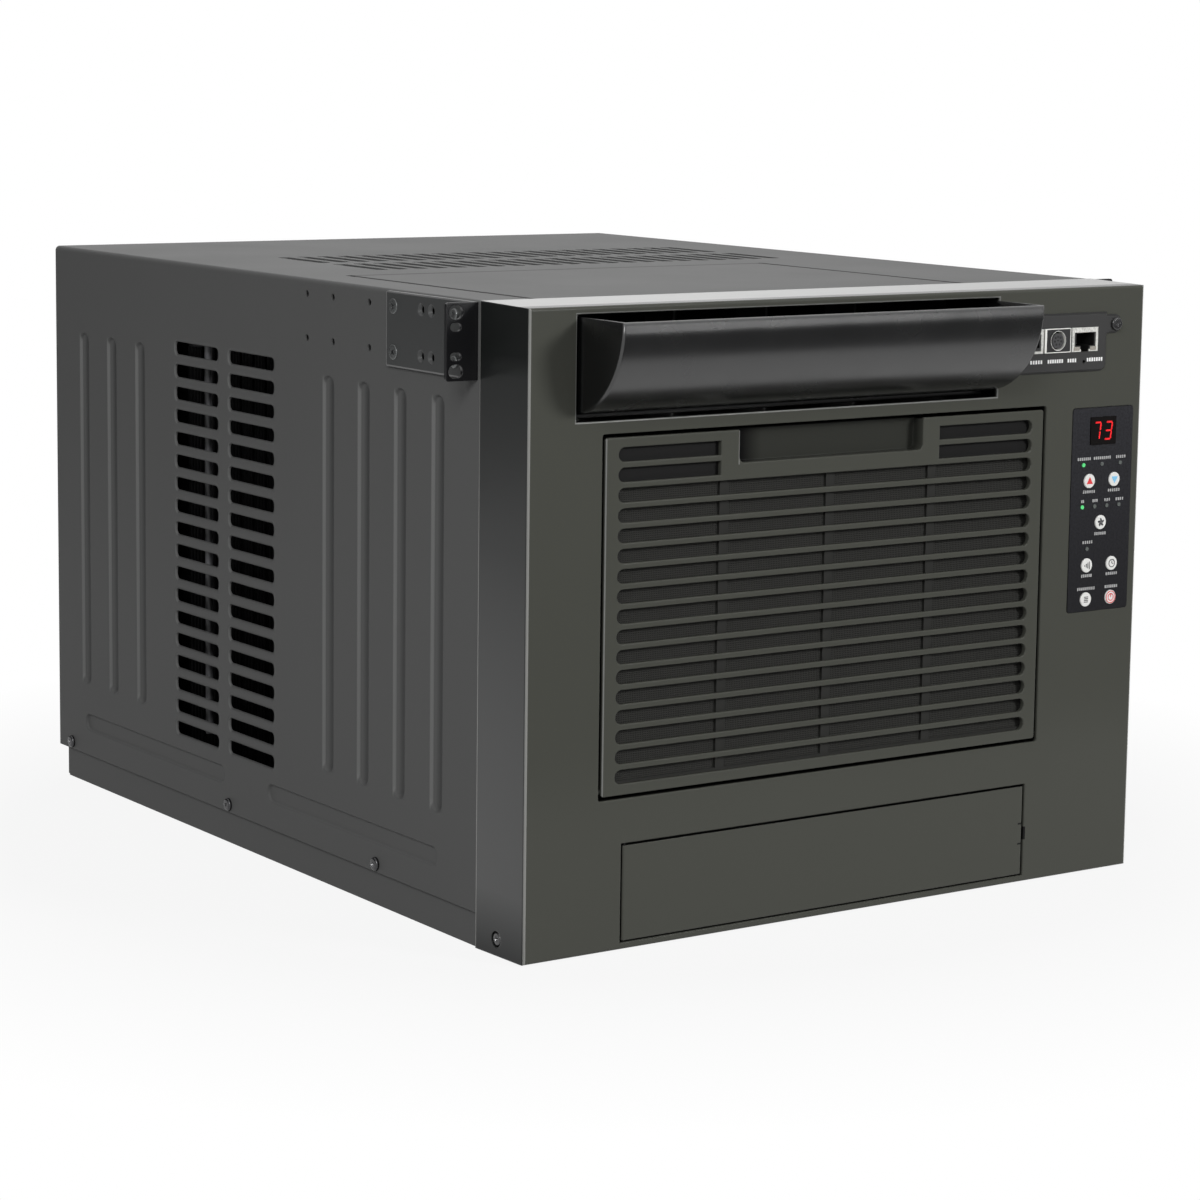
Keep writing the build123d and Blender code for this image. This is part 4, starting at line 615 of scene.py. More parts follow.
# Control panel: a printed film, a little speckled, over a plate in the bezel's right edge.
# The film is painted darker towards its foot, a painted shade.
FILM_BLACK = (0.013, 0.013, 0.015)
FILM_SPECK = (0.034, 0.034, 0.040)
FILM_FOOT_SHADE = (0.006, 0.006, 0.007)
FILM_FADE = (0.3, 1.0)
SPECK_NOISE, SPECK_SPAN = (1.4 * MM, 3.0, 0.7), (0.35, 0.75)
FILM_GRAIN = (0.7 * MM, 0.015 * MM, 0.5)
film_low, film_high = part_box("control_panel")
panel_gloss, shader, place = new_finish("panel_gloss", FILM_BLACK, 0.35, Specular_IOR_Level=0.2)
speckled = place.noise(*SPECK_NOISE).ramp(*SPECK_SPAN).mix(FILM_BLACK, FILM_SPECK)
# Painted shade, darker towards the film's foot.
shade_from_foot = place.axis(2).ramp(film_low.z, film_high.z, *FILM_FADE)
shade_from_foot.mix(FILM_FOOT_SHADE, speckled).feed(shader, "Base Color")
grain(shader, place, *FILM_GRAIN)
coat_nodes(panel_gloss, "control_panel")

# Jacks: tin-plated shells round the black wells of two plugs, and a black round one in a thin bright frame.
# All three are set in the plate of the card's bay.
SHELL_TIN = (0.80, 0.80, 0.76)
SHELL_DULL = (0.55, 0.55, 0.52)
WELL_BLACK = 0.004
INNER_GREY = 0.020
BLOCK_GREY = (0.026, 0.026, 0.027)
CORE_GREY = (0.055, 0.055, 0.057)
TIN_CLOUD, TIN_SPAN = 1.2 * MM, (0.35, 0.65)
SHELL_GLOSS = (0.6, 0.3)
SHELL_LIP = 0.7 * MM
SHELL_SIDE, SHELL_TOP, SHELL_FOOT = 1.8 * MM, 2.9 * MM, 1.4 * MM
RING_FROM, RING_TO, RING_DEEP, CORE_RADIUS = 5.5 * MM, 5.8 * MM, 3.5 * MM, 4.5 * MM
FRAME_SIDE, FRAME_LINE = 1.5 * MM, 0.45 * MM
for name in ("network_jack", "sensor_jack"):
    jack_low, jack_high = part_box(name)
    shell_tin, shader, place = new_finish(f"{name}_shell", SHELL_TIN, 0.35, Metallic=0.3)
    across, deep, up = place.axes()
    at_side = (across < jack_low.x + SHELL_SIDE).either(across > jack_high.x - SHELL_SIDE)
    at_end = (up > jack_high.z - SHELL_TOP).either(up < jack_low.z + SHELL_FOOT)
    metal = at_side.either(at_end) * (deep < jack_low.y + SHELL_LIP)
    tin = place.noise(TIN_CLOUD).ramp(*TIN_SPAN).mix(SHELL_DULL, SHELL_TIN)
    plastic = (deep > jack_low.y + SHELL_LIP).mix(INNER_GREY, WELL_BLACK)
    metal.mix(plastic, tin).feed(shader, "Base Color")
    metal.ramp(0, 1, *SHELL_GLOSS).feed(shader, "Roughness")
    coat_nodes(shell_tin, name)
jack_low, jack_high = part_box("network_jack")
jack_mid = (jack_low + jack_high) / 2
round_low, round_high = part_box("config_jack")
round_mid = (round_low + round_high) / 2
round_jack, shader, place = new_finish("round_jack", BLOCK_GREY, 0.3)
across, deep, up = place.axes()
out = reach(across - round_mid.x, up - round_mid.z)
at_side = (across < round_low.x + FRAME_SIDE).either(across > round_high.x - FRAME_LINE)
at_end = (up < round_low.z + FRAME_LINE).either(up > round_high.z - FRAME_LINE)
on_ring = (out > RING_FROM) * (out < RING_TO) * (deep < jack_low.y + RING_DEEP)
bright = on_ring.either(at_side.either(at_end) * (deep < jack_low.y + 2 * SHELL_LIP))
dark = (out < RING_FROM).mix(BLOCK_GREY, (out < CORE_RADIUS).mix(WELL_BLACK, CORE_GREY))
bright.mix(dark, SHELL_TIN).feed(shader, "Base Color")
coat_nodes(round_jack, "config_jack")

# Card plate: a bevelled plate in dark grey satin plastic that closes the card's bay.
# A screw through the ear at its right end holds it.
PLATE_GREY = 0.032
PLATE_PALE = 0.036
PLATE_BEVEL_SHADE = 0.006
PLATE_CLOUD, PLATE_BEVEL = 20 * MM, 0.12 * MM
PLATE_GRAIN = (0.5 * MM, 0.01 * MM, 0.4)
card_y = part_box("card_plate")[0].y
card_satin, shader, place = new_finish("card_satin", PLATE_GREY, 0.4, Specular_IOR_Level=0.3)
plate_tone = place.noise(PLATE_CLOUD).mix(PLATE_GREY, PLATE_PALE)
# Painted shade on the plate's bevelled edges.
on_bevel = place.axis(1) > card_y + PLATE_BEVEL
on_bevel.mix(plate_tone, PLATE_BEVEL_SHADE).feed(shader, "Base Color")
grain(shader, place, *PLATE_GRAIN)
coat_nodes(card_satin, "card_plate")

# Screws on the cabinet's sides: pan heads with a cross recess, in black nickel, the recess a painted glint.
# Each kind of screw is modelled once, standing on its face, and copied to its places.
# A head has a radius, a height and a rounding; the arms of its recess are shares of the first two.
SIDE_SCREWS = ((155.5, 24.6), (334.0, 24.6), (555.9, 24.6))
SIDE_SCREW_SPIN, SIDE_SCREW_TURN = 20, 35
PAN_HEAD = (4.0, 2.1, 1.3)
HEAD_SIDES, HEAD_STEPS = 40, 5
ARM_L, ARM_W, ARM_H, ARM_TAPER = 1.25, 0.28, 1.3, 0.45
RECESS_R = 0.68
FACING = 0.9
SMOOTH_ANGLE = math.radians(35)
NICKEL = (0.075, 0.075, 0.077)
NICKEL_DARK = (0.045, 0.045, 0.047)
STEEL_GLINT = (0.45, 0.45, 0.46)
STEEL_DULL = 0.10
BURR_SIZE, BURR_SPAN = 1.2 * MM, (0.4, 0.6)
NICKEL_GLOSS = (BURR_SIZE, 0.18, 0.32)


def select_only(piece):
    """Makes one piece the active one, and the only one selected."""
    clear_selection()
    piece.select_set(True)
    bpy.context.view_layer.objects.active = piece


def set_mode(mode):
    bpy.ops.object.mode_set(mode=mode)


def pick_faces(piece, test):
    """Opens edit mode with only those faces selected that pass the test."""
    bpy.context.view_layer.objects.active = piece
    set_mode("EDIT")
    bpy.ops.mesh.select_mode(type="FACE")
    bpy.ops.mesh.select_all(action="DESELECT")
    set_mode("OBJECT")
    for face in piece.data.polygons:
        face.select = test(face)
    set_mode("EDIT")


def apply_modifier(piece, kind, **settings):
    """Adds a modifier, sets it and applies it."""
    select_only(piece)
    bpy.ops.object.modifier_add(type=kind)
    modifier = piece.modifiers[-1]
    for name, value in settings.items():
        setattr(modifier, name, value)
    bpy.ops.object.modifier_apply(modifier=modifier.name)


def cross_head(radius, height, rounding, finish, recess):
    """A screw head in millimetres, standing on the floor at the origin, with a tapered cross recess."""
    clear_selection()
    middle = (0, 0, height / 2 * MM)
    bpy.ops.mesh.primitive_cylinder_add(
        vertices=HEAD_SIDES, radius=radius * MM, depth=height * MM, location=middle
    )
    head = bpy.context.object
    bpy.ops.object.transform_apply(location=True)
    pick_faces(head, lambda face: face.normal.z > FACING)
    bpy.ops.mesh.bevel(offset=rounding * MM, segments=HEAD_STEPS, affect="EDGES")
    set_mode("OBJECT")
    for spin in (0, 90):
        clear_selection()
        bpy.ops.mesh.primitive_cube_add(size=1, location=(0, 0, height * MM))
        arm = bpy.context.object
        arm.scale = (ARM_L * radius * MM, ARM_W * radius * MM, ARM_H * height * MM)
        arm.rotation_euler.z = math.radians(spin)
        bpy.ops.object.transform_apply(location=True, rotation=True, scale=True)
        pick_faces(arm, lambda face: face.normal.z < -FACING)
        bpy.ops.transform.resize(value=(ARM_TAPER, ARM_TAPER, 1))
        set_mode("OBJECT")
        apply_modifier(head, "BOOLEAN", operation="DIFFERENCE", object=arm, solver="EXACT")
        bpy.data.objects.remove(arm)
    select_only(head)
    bpy.ops.object.shade_smooth_by_angle(angle=SMOOTH_ANGLE)
    head.data.materials.clear()
    head.data.materials.append(finish)
    head.data.materials.append(recess)
    for face in head.data.polygons:
        in_recess = face.center.xy.length < RECESS_R * radius * MM and face.normal.z < FACING
        face.material_index = 1 if in_recess else 0
    return head


def against(heading):
    """The turn that lays what is modelled on the floor against an upright face; 0 is the front."""
    return turned(heading, "Z") @ turned(90, "X")


FRONTWARD, RIGHTWARD, BACKWARD, LEFTWARD = (against(heading) for heading in (0, 90, 180, -90))


def lay_out(model, spots):
    """Copies a model to its spots, each a place, a turn and a spin in degrees."""
    copies = []
    for place, turn, spin in spots:
        select_only(model)
        bpy.ops.object.duplicate()
        copy = bpy.context.object
        copy.matrix_world = Matrix.Translation(place) @ turn @ turned(spin, "Z")
        copies.append(copy)
    bpy.data.objects.remove(model)
    return copies


def join_piece(parts, name, body="cabinet"):
    """Joins finished meshes to one piece at the origin that rides on a body."""
    clear_selection()
    for part in parts:
        part.select_set(True)
    bpy.context.view_layer.objects.active = parts[0]
    if len(parts) > 1:
        bpy.ops.object.join()
    piece = bpy.context.object
    bpy.ops.object.transform_apply(location=True, rotation=True, scale=True)
    piece.name = name
    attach(piece, body)


def set_out(model, name, spots):
    """Copies a model to its spots, as one piece on the cabinet."""
    join_piece(lay_out(model, spots), name)


def on_sides(out, places, spin, turn_each=0):
    """Spots on both sides of the cabinet, in millimetres out from them, back from the front and up."""
    spots = []
    for side, turn in ((-1, LEFTWARD), (1, RIGHTWARD)):
        for number, (y, z) in enumerate(places):
            place = (side * (bezel_high.x + out * MM), front_y + y * MM, z * MM)
            spots.append((place, turn, spin + turn_each * number))
    return spots


# The bright steel in the screws' recesses is a painted glint.
glint_steel, shader, place = new_finish("glint_steel", STEEL_GLINT, 0.3, Metallic=0.6)
place.noise(BURR_SIZE).ramp(*BURR_SPAN).mix(STEEL_DULL, STEEL_GLINT).feed(shader, "Base Color")
black_nickel, shader, place = new_finish("black_nickel", NICKEL, 0.25, Metallic=1.0)
tint(shader, place, BURR_SIZE, NICKEL_DARK, NICKEL)
vary_gloss(shader, place, *NICKEL_GLOSS)
spots = on_sides(0, SIDE_SCREWS, SIDE_SCREW_SPIN, SIDE_SCREW_TURN)
set_out(cross_head(*PAN_HEAD, black_nickel, glint_steel), "side_screws", spots)

# Screws of the rear panel and of the exhaust guard, of the same kind and finish.
# They go through the rim of the guard and the panel's upright edges.
REAR_SCREW_X, REAR_SCREW_ZS = 205.0, (26.0, 178.0, 338.0)
REAR_SCREW_SPIN, REAR_SCREW_TURN = 15, 40
GUARD_SCREW_IN, GUARD_SCREW_SPIN = 4.0 * MM, 50
panel_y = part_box("rear_panel")[1].y
guard_low, guard_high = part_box("exhaust_guard")
spots = []
for z in (guard_low.z + GUARD_SCREW_IN, guard_high.z - GUARD_SCREW_IN):
    for x in (guard_low.x + GUARD_SCREW_IN, 0, guard_high.x - GUARD_SCREW_IN):
        spots.append(((x, guard_high.y, z), BACKWARD, GUARD_SCREW_SPIN))
for number, z in enumerate(REAR_SCREW_ZS):
    for x in (-REAR_SCREW_X, REAR_SCREW_X):
        spin = REAR_SCREW_SPIN + REAR_SCREW_TURN * number
        spots.append(((x * MM, panel_y, z * MM), BACKWARD, spin))
set_out(cross_head(*PAN_HEAD, black_nickel, glint_steel), "rear_screws", spots)

# Black screws: the bezel's, deep in their side holes, and the one through the card's ear.
# They are small pan heads in a glossy black finish.
SCREW_BLACK = (0.012, 0.012, 0.013)
SCREW_GLOSS = (BURR_SIZE, 0.2, 0.35)
BEZEL_SCREW, BEZEL_SCREW_SINK = (26.9, 9.7), 1.6
BEZEL_HEAD, BEZEL_SCREW_SPIN = (3.6, 1.4, 0.8), 30
CARD_SCREW = (194.4, 332.2)
CARD_HEAD, CARD_SCREW_SPIN = (3.9, 2.0, 1.2), 15
screw_black, shader, place = new_finish("screw_black", SCREW_BLACK, 0.25, Specular_IOR_Level=0.8)
vary_gloss(shader, place, *SCREW_GLOSS)
spots = on_sides(-BEZEL_SCREW_SINK, [BEZEL_SCREW], BEZEL_SCREW_SPIN)
set_out(cross_head(*BEZEL_HEAD, screw_black, glint_steel), "bezel_screws", spots)
spot = (CARD_SCREW[0] * MM, card_y, CARD_SCREW[1] * MM)
spots = [(spot, FRONTWARD, CARD_SCREW_SPIN)]
set_out(cross_head(*CARD_HEAD, screw_black, glint_steel), "card_screw", spots)

# Ear screws: flat heads flush in the sinks of the rack ears, and pan heads close behind the flange.
# They are of dull steel, their recesses painted black, a painted shade, in the rows of the ears' spare
# holes.
# Each kind has how far back it is, its head, how deep it is sunk, a spin and a turn from row to row.
EAR_STEEL = (0.13, 0.135, 0.135)
EAR_GLOSS = (BURR_SIZE, 0.22, 0.4)
EAR_SCREWS = {
    "ear_screws": (134.9, (4.3, 1.0, 0.5), 0.3, 25, 30),
    "ear_front_screws": (69.5, (3.4, 1.7, 1.0), 0.0, 10, 50),
}
ear_steel, shader, place = new_finish("ear_steel", EAR_STEEL, 0.3, Metallic=0.5)
vary_gloss(shader, place, *EAR_GLOSS)
for name, (y, head, sink, spin, row_turn) in EAR_SCREWS.items():
    spots = on_sides(EAR_SHEET - sink, [(y, z) for z in EAR_HOLE_ZS], spin, row_turn)
    # The recesses take the black screw finish, a painted shade.
    set_out(cross_head(*head, ear_steel, screw_black), name, spots)

# Display: a black window with two red slanted figures made of bars, lit from behind.
# Each bar has how far right and up it lies, as shares of the figure, and its spin.
WINDOW_BLACK = (0.002, 0.001, 0.001)
WINDOW_GLOSS = (6 * MM, 0.1, 0.16)
FIGURE_RED = (0.75, 0.012, 0.016)
FIGURE_DEEP = (0.75, 0.006, 0.010)
FIGURE_CLOUD, FIGURE_GLOW = 0.8 * MM, 0.32
FIGURE_W, FIGURE_H, FIGURE_SLANT = 5.6, 11.2, 0.13
FIGURE_XS, FIGURE_Z = (183.2, 192.2), 268.6
BAR_L, BAR_W, BAR_CORNER = 4.5, 1.0, 0.5
MARK_T = 0.12
BARS = {
    "top": (0, 0.5, 0),
    "middle": (0, 0, 0),
    "foot": (0, -0.5, 0),
    "upper_right": (0.5, 0.25, 90),
    "lower_right": (0.5, -0.25, 90),
}
SEVEN = ("top", "upper_right", "lower_right")
THREE = ("top", "upper_right", "middle", "lower_right", "foot")
display_red, shader, place = new_finish("display_red", WINDOW_BLACK, 0.12)
vary_gloss(shader, place, *WINDOW_GLOSS)
coat_nodes(display_red, "display_window")


def edit_all():
    """Opens edit mode on the active piece with everything selected."""
    set_mode("EDIT")
    bpy.ops.mesh.select_all(action="SELECT")


def flat_mark(width, height, corner, finish, sides=4):
    """A thin printed mark in millimetres on the floor, with cut corners: four sides, three or a round."""
    clear_selection()
    if sides == 4:
        bpy.ops.mesh.primitive_plane_add(size=1)
    else:
        bpy.ops.mesh.primitive_circle_add(vertices=sides, radius=0.5, fill_type="NGON")
    mark = bpy.context.object
    mark.scale = (width * MM, height * MM, 1)
    bpy.ops.object.transform_apply(scale=True)
    edit_all()
    if corner:
        bpy.ops.mesh.bevel(offset=corner * MM, segments=2, affect="VERTICES")
    bpy.ops.mesh.extrude_region_move(TRANSFORM_OT_translate={"value": (0, 0, MARK_T * MM)})
    bpy.ops.mesh.select_all(action="SELECT")
    bpy.ops.mesh.normals_make_consistent(inside=False)
    set_mode("OBJECT")
    mark.data.materials.append(finish)
    return mark


figure_red, shader, place = new_finish("figure_red", FIGURE_RED, 0.3, Emission_Strength=FIGURE_GLOW)
place.noise(FIGURE_CLOUD).mix(FIGURE_DEEP, FIGURE_RED).feed(shader, "Emission Color")
window_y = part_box("display_window")[0].y
spots = []
for middle, bars in zip(FIGURE_XS, (SEVEN, THREE)):
    for bar in bars:
        right, rise, spin = BARS[bar]
        rise *= FIGURE_H - BAR_W
        right = right * (FIGURE_W - BAR_W) + FIGURE_SLANT * rise
        lean = spin - math.degrees(math.atan(FIGURE_SLANT)) if spin else 0
        spots.append((((middle + right) * MM, window_y, (FIGURE_Z + rise) * MM), FRONTWARD, lean))
set_out(flat_mark(BAR_L, BAR_W, BAR_CORNER, figure_red), "display_figures", spots)

# Keypad: seven white rubber buttons that stand through the film.
# Between them lie eight lamps under clear lenses, two of them lit green.
BUTTON_WHITE = (0.72, 0.72, 0.70)
BUTTON_SHADE = (0.66, 0.66, 0.64)
BUTTON_CLOUD, BUTTON_GRAIN = 3 * MM, (0.4 * MM, 0.01 * MM, 0.4)
LENS_GREY = (0.10, 0.11, 0.105)
LENS_GREEN = (0.10, 0.62, 0.20)
LENS_GLOW = 0.2
LIT_WIDTH = 2.6 * MM
button_white, shader, place = new_finish("button_white", BUTTON_WHITE, 0.35)
tint(shader, place, BUTTON_CLOUD, BUTTON_SHADE, BUTTON_WHITE)
grain(shader, place, *BUTTON_GRAIN)
coat_nodes(button_white, "keypad_buttons")
first_lamp_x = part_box("indicator_lamps")[0].x
lamp_lens, shader, place = new_finish("lamp_lens", LENS_GREY, 0.25, Emission_Strength=LENS_GLOW)
lit = place.axis(0) < first_lamp_x + LIT_WIDTH
lit.mix(LENS_GREY, LENS_GREEN).feed(shader, "Base Color")
lit.mix(0.0, LENS_GREEN).feed(shader, "Emission Color")
coat_nodes(lamp_lens, "indicator_lamps")

# Button icons: thin marks printed on the buttons' faces, sizes and places in millimetres.
# They are a red and a blue arrow, a fan, sound bars, a clock, a list and a power sign.
ICON_INKS = {
    "icon_dark": (0.045, 0.045, 0.05),
    "icon_red": (0.62, 0.025, 0.03),
    "icon_blue": (0.20, 0.50, 0.75),
}
ICON_GLOSS = (0.6 * MM, 0.45, 0.6)
LEFT_X, MIDDLE_X, RIGHT_X = 178.35, 188.25, 198.15
ICON_ZS = {"degrees": 239.0, "speed": 213.7, "clock": 188.3, "power": 167.8}
ROUND_SIDES, RING_SIDES, RING_LINE = 14, 28, 0.5
ARROW, ARROW_CORNER, ARROW_SHIFT = 5.6, 0.2, 0.3
BLADE_COUNT, BLADE, BLADE_OUT, BLADE_LEAN = 5, (1.3, 2.3), 1.5, 25
HUB, ICON_CORNER = 0.9, 0.1
SOUND_BAR_W, SOUND_BARS = 0.55, ((-1.8, 1.2), (-0.6, 2.2), (0.6, 3.4), (1.8, 4.6))
CLOCK_R, HAND, HANDS = 2.5, (0.45, 1.5), ((0, 0.75, 0), (0.6, -0.2, 65))
LIST_LINE, LIST_UPS = (3.2, 0.5), (-1.5, -0.5, 0.5, 1.5)
POWER_RS, POWER_BAR, POWER_BAR_UP = (2.3, 3.8), (0.55, 2.2), 1.0
inks = []
for name, colour in ICON_INKS.items():
    ink, shader, place = new_finish(name, colour, 0.5)
    vary_gloss(shader, place, *ICON_GLOSS)
    inks.append(ink)
icon_dark, icon_red, icon_blue = inks
button_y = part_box("keypad_buttons")[0].y


def on_button(x, row, right=0.0, rise=0.0, spin=0.0):
    """A spot on a button's face, moved to the right and up in millimetres."""
    return (((x + right) * MM, button_y, (ICON_ZS[row] + rise) * MM), FRONTWARD, spin)


def ring_mark(radius, finish):
    """A thin printed ring in millimetres, on the floor."""
    ring = flat_mark(2 * radius, 2 * radius, 0, finish, RING_SIDES)
    pick_faces(ring, lambda face: abs(face.normal.z) > FACING)
    bpy.ops.mesh.inset(thickness=RING_LINE * MM, use_individual=True)
    bpy.ops.mesh.bridge_edge_loops()
    set_mode("OBJECT")
    return ring


icons = []
for x, finish, shift, spin in ((LEFT_X, icon_red, -ARROW_SHIFT, 0), (RIGHT_X, icon_blue, ARROW_SHIFT, 180)):
    arrow = flat_mark(ARROW, ARROW, ARROW_CORNER, finish, 3)
    icons += lay_out(arrow, [on_button(x, "degrees", 0, shift, spin)])
blades = []
for number in range(BLADE_COUNT):
    step = 360 / BLADE_COUNT * number
    right = -BLADE_OUT * math.sin(math.radians(step))
    rise = BLADE_OUT * math.cos(math.radians(step))
    blades.append(on_button(MIDDLE_X, "speed", right, rise, step + BLADE_LEAN))
icons += lay_out(flat_mark(*BLADE, 0, icon_dark, ROUND_SIDES), blades)
icons += lay_out(flat_mark(HUB, HUB, 0, icon_dark, ROUND_SIDES), [on_button(MIDDLE_X, "speed")])
for right, height in SOUND_BARS:
    sound_bar = flat_mark(SOUND_BAR_W, height, ICON_CORNER, icon_dark)
    icons += lay_out(sound_bar, [on_button(LEFT_X, "clock", right)])
icons += lay_out(ring_mark(CLOCK_R, icon_dark), [on_button(RIGHT_X, "clock")])
hands = [on_button(RIGHT_X, "clock", *hand) for hand in HANDS]
icons += lay_out(flat_mark(*HAND, ICON_CORNER, icon_dark), hands)
lines = [on_button(LEFT_X, "power", 0, rise) for rise in LIST_UPS]
icons += lay_out(flat_mark(*LIST_LINE, ICON_CORNER, icon_dark), lines)
for radius in POWER_RS:
    icons += lay_out(ring_mark(radius, icon_red), [on_button(RIGHT_X, "power")])
power_bar = flat_mark(*POWER_BAR, ICON_CORNER, icon_red)
icons += lay_out(power_bar, [on_button(RIGHT_X, "power", 0, POWER_BAR_UP)])
join_piece(icons, "button_icons")

# Printed marks: short rows of pale blocks, grey on the film and white on the card's plate.
# Each row has a height and the ends of its groups of blocks, and a block a pitch and a height.
PRINT_GREYS, PRINT_WHITES = (0.30, 0.42), (0.7, (0.85, 0.85, 0.84))
PRINT_CLOUD = 0.5 * MM
FILM_BLOCK, CARD_BLOCK = (1.55, 1.8), (1.9, 2.2)
BLOCK_SHARE, BLOCK_CORNER = 0.62, 0.2
FILM_MARKS = {
    252.3: ((168.7, 179.5), (181.5, 195.5), (199.3, 207.4)),
    232.5: ((173.7, 183.7), (193.6, 203.5)),
    226.9: ((172.6, 175.2), (181.5, 186.0), (191.0, 196.0), (200.0, 206.6)),
    206.9: ((183.8, 193.4),),
    202.2: ((174.6, 183.0),),
    182.0: ((174.4, 183.2), (194.0, 203.6)),
    174.2: ((171.6, 186.0), (193.6, 204.2)),
}
CARD_MARKS = {311.6: ((127.6, 137.5), (141.1, 153.6), (156.6, 164.0), (171.7, 184.7))}


def mark_rows(name, rows, pitch, height, face_y, finish_name, thin, full):
    """Rows of small blocks on a front face, as one piece, in ink that is thin in places."""
    ink, shader, place = new_finish(finish_name, full, 0.5)
    tint(shader, place, PRINT_CLOUD, thin, full)
    spots = []
    for z, groups in rows.items():
        for first, last in groups:
            count = max(2, round((last - first) / pitch))
            step = (last - first) / count
            for number in range(count):
                x = first + (number + 0.5) * step
                spots.append(((x * MM, face_y, z * MM), FRONTWARD, 0))
    set_out(flat_mark(BLOCK_SHARE * pitch, height, BLOCK_CORNER, ink), name, spots)


mark_rows("film_marks", FILM_MARKS, *FILM_BLOCK, film_low.y, "print_grey", *PRINT_GREYS)
mark_rows("card_marks", CARD_MARKS, *CARD_BLOCK, card_y, "print_white", *PRINT_WHITES)

# Inside the jacks: pin holes in the round one's core, gilt springs and small windows in the network one.
# Sizes and places are in millimetres, from the middle of each jack's face.
PIN_HOLES = ((-1.9, 1.7), (0, 2.3), (1.9, 1.7), (-2.4, -0.4), (2.4, -0.4), (-1.2, -2.2), (1.2, -2.2))
PIN_HOLE = 1.4
KEY_UP, KEY_SIZE, KEY_CORNER = 0.1, (1.5, 0.8), 0.15
GILT = (0.60, 0.42, 0.14)
WINDOW_DULL = (0.42, 0.40, 0.36)
WINDOW_DARK = (0.16, 0.14, 0.11)
HOLE_GLOSS, GILT_GLOSS = (0.4 * MM, 0.5, 0.7), (0.4 * MM, 0.25, 0.4)
WINDOW_CLOUD = 0.5 * MM
SPRING_SIZE, SPRING_CORNER = (0.45, 7.0), 0.1
SPRING_PITCH, SPRING_COUNT = 1.02, 8
SPRING_DEEP, SPRING_UP = 6.0, 3.9
WINDOW_SIZE, WINDOW_CORNER = (4.6, 2.3), 0.3
WINDOW_OUT, WINDOW_DOWN = 6.4, 5.3
hole_black, shader, place = new_finish("hole_black", WELL_BLACK, 0.6)
vary_gloss(shader, place, *HOLE_GLOSS)
gilt, shader, place = new_finish("gilt", GILT, 0.3, Metallic=1.0)
vary_gloss(shader, place, *GILT_GLOSS)
window_dull, shader, place = new_finish("window_dull", WINDOW_DULL, 0.3)
tint(shader, place, WINDOW_CLOUD, WINDOW_DARK, WINDOW_DULL)


def on_jack(middle, right, rise):
    """A spot on a jack's face, off its middle in millimetres."""
    return (middle.x + right * MM, jack_low.y, middle.z + rise * MM), FRONTWARD, 0


# The pin holes and the key are black marks, a painted shade.
spots = [on_jack(round_mid, *hole) for hole in PIN_HOLES]
holes = lay_out(flat_mark(PIN_HOLE, PIN_HOLE, 0, hole_black, ROUND_SIDES), spots)
holes += lay_out(flat_mark(*KEY_SIZE, KEY_CORNER, hole_black), [on_jack(round_mid, 0, KEY_UP)])
join_piece(holes, "pin_holes")
spots = [on_jack(jack_mid, side * WINDOW_OUT, -WINDOW_DOWN) for side in (-1, 1)]
set_out(flat_mark(*WINDOW_SIZE, WINDOW_CORNER, window_dull), "jack_windows", spots)
spots = []
hung = turned(180, "X")
for number in range(SPRING_COUNT):
    x = jack_mid.x + (number - (SPRING_COUNT - 1) / 2) * SPRING_PITCH * MM
    spots.append(((x, jack_low.y + SPRING_DEEP * MM, jack_mid.z + SPRING_UP * MM), hung, 0))
set_out(flat_mark(*SPRING_SIZE, SPRING_CORNER, gilt), "jack_springs", spots)

# Hood lip: a moulded strip under the drum's lower edge, of the hood's own plastic.
# It closes the slit to the opening and turns with the hood.
LIP_IN, LIP_DROP, LIP_T, LIP_LAP = 6.1, 2.6, 1.8, 1.2
LIP_ROUND, LIP_STEPS = 0.5, 3
HOOD_AXIS_BACK, DRUM_BOTTOM = 9.5, 296.0
clear_selection()
lip_size = (hood_high.x - hood_low.x - 2 * LIP_IN * MM, LIP_T * MM, (LIP_DROP + LIP_LAP) * MM)
lip_place = (
    (hood_low.x + hood_high.x) / 2,
    front_y + HOOD_AXIS_BACK * MM,
    (DRUM_BOTTOM + (LIP_LAP - LIP_DROP) / 2) * MM,
)
bpy.ops.mesh.primitive_cube_add(size=1, location=lip_place)
lip = bpy.context.object
lip.scale = lip_size
bpy.ops.object.transform_apply(location=True, scale=True)
edit_all()
bpy.ops.mesh.bevel(offset=LIP_ROUND * MM, segments=LIP_STEPS, affect="EDGES")
set_mode("OBJECT")
bpy.ops.object.shade_smooth_by_angle(angle=SMOOTH_ANGLE)
lip.data.materials.append(hood_gloss)
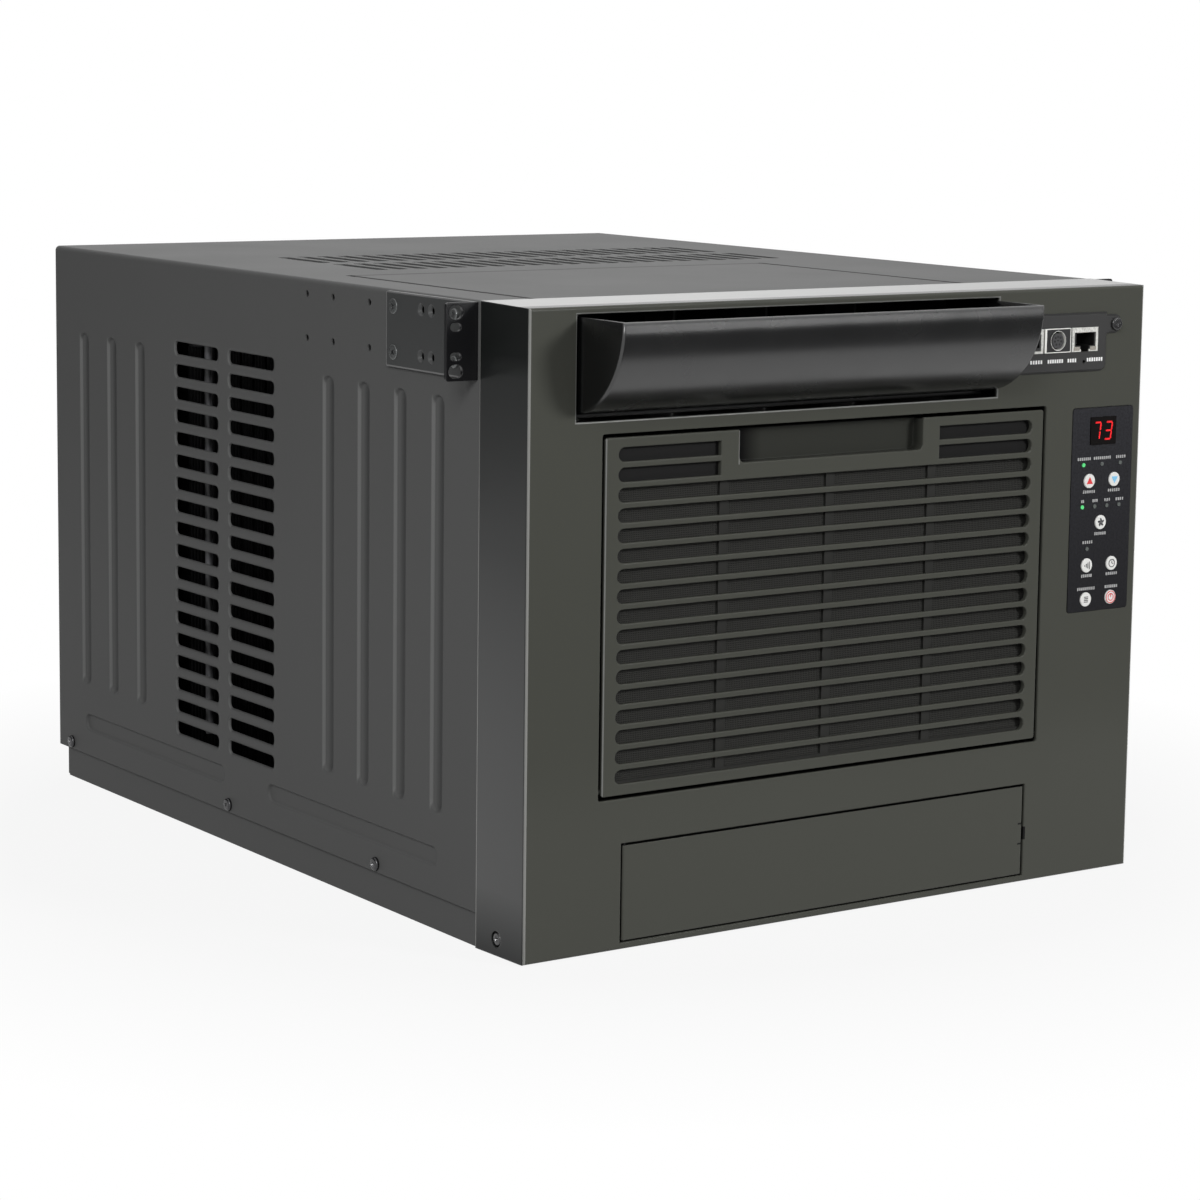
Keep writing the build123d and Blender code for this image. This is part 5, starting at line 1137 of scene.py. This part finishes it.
join_piece([lip], "hood_lip", "hood")

# Coil pipe: an aluminium tube that stands in front of the condenser's left end and bends back into it.
# It is dull and stained, and shows through the slots in the cabinet's left side.
PIPE_GREY = (0.16, 0.16, 0.17)
PIPE_DARK = (0.012, 0.012, 0.013)
PIPE_CLOUD, PIPE_SPAN = 24 * MM, (0.45, 0.65)
PIPE_R, PIPE_X, PIPE_Y = 2.4, -207.5, 380.0
PIPE_FOOT, PIPE_TOP, PIPE_BEND, PIPE_RUN = 60.0, 318.0, 14.0, 8.0
PIPE_SIDES, PIPE_STEPS = 16, 8
PIPE_SMOOTH = math.radians(50)
DOUBLES = 0.01 * MM
pipe_metal, shader, place = new_finish("pipe_metal", PIPE_GREY, 0.45)
place.noise(PIPE_CLOUD).ramp(*PIPE_SPAN).mix(PIPE_DARK, PIPE_GREY).feed(shader, "Base Color")
clear_selection()
pipe_y = front_y + PIPE_Y * MM
pipe_foot = (PIPE_X * MM, pipe_y, PIPE_FOOT * MM)
bpy.ops.mesh.primitive_circle_add(
    vertices=PIPE_SIDES, radius=PIPE_R * MM, fill_type="NGON", location=pipe_foot
)
pipe = bpy.context.object
bpy.ops.object.transform_apply(location=True)
edit_all()
rise = (0, 0, (PIPE_TOP - PIPE_FOOT) * MM)
bpy.ops.mesh.extrude_region_move(TRANSFORM_OT_translate={"value": rise})
bend_at = (PIPE_X * MM, pipe_y + PIPE_BEND * MM, PIPE_TOP * MM)
bpy.ops.mesh.spin(steps=PIPE_STEPS, angle=math.radians(-90), center=bend_at, axis=(1, 0, 0))
bpy.ops.mesh.extrude_region_move(TRANSFORM_OT_translate={"value": (0, PIPE_RUN * MM, 0)})
bpy.ops.mesh.select_all(action="SELECT")
bpy.ops.mesh.remove_doubles(threshold=DOUBLES)
bpy.ops.mesh.normals_make_consistent(inside=False)
set_mode("OBJECT")
bpy.ops.object.shade_smooth_by_angle(angle=PIPE_SMOOTH)
pipe.data.materials.append(pipe_metal)
join_piece([pipe], "coil_pipe")
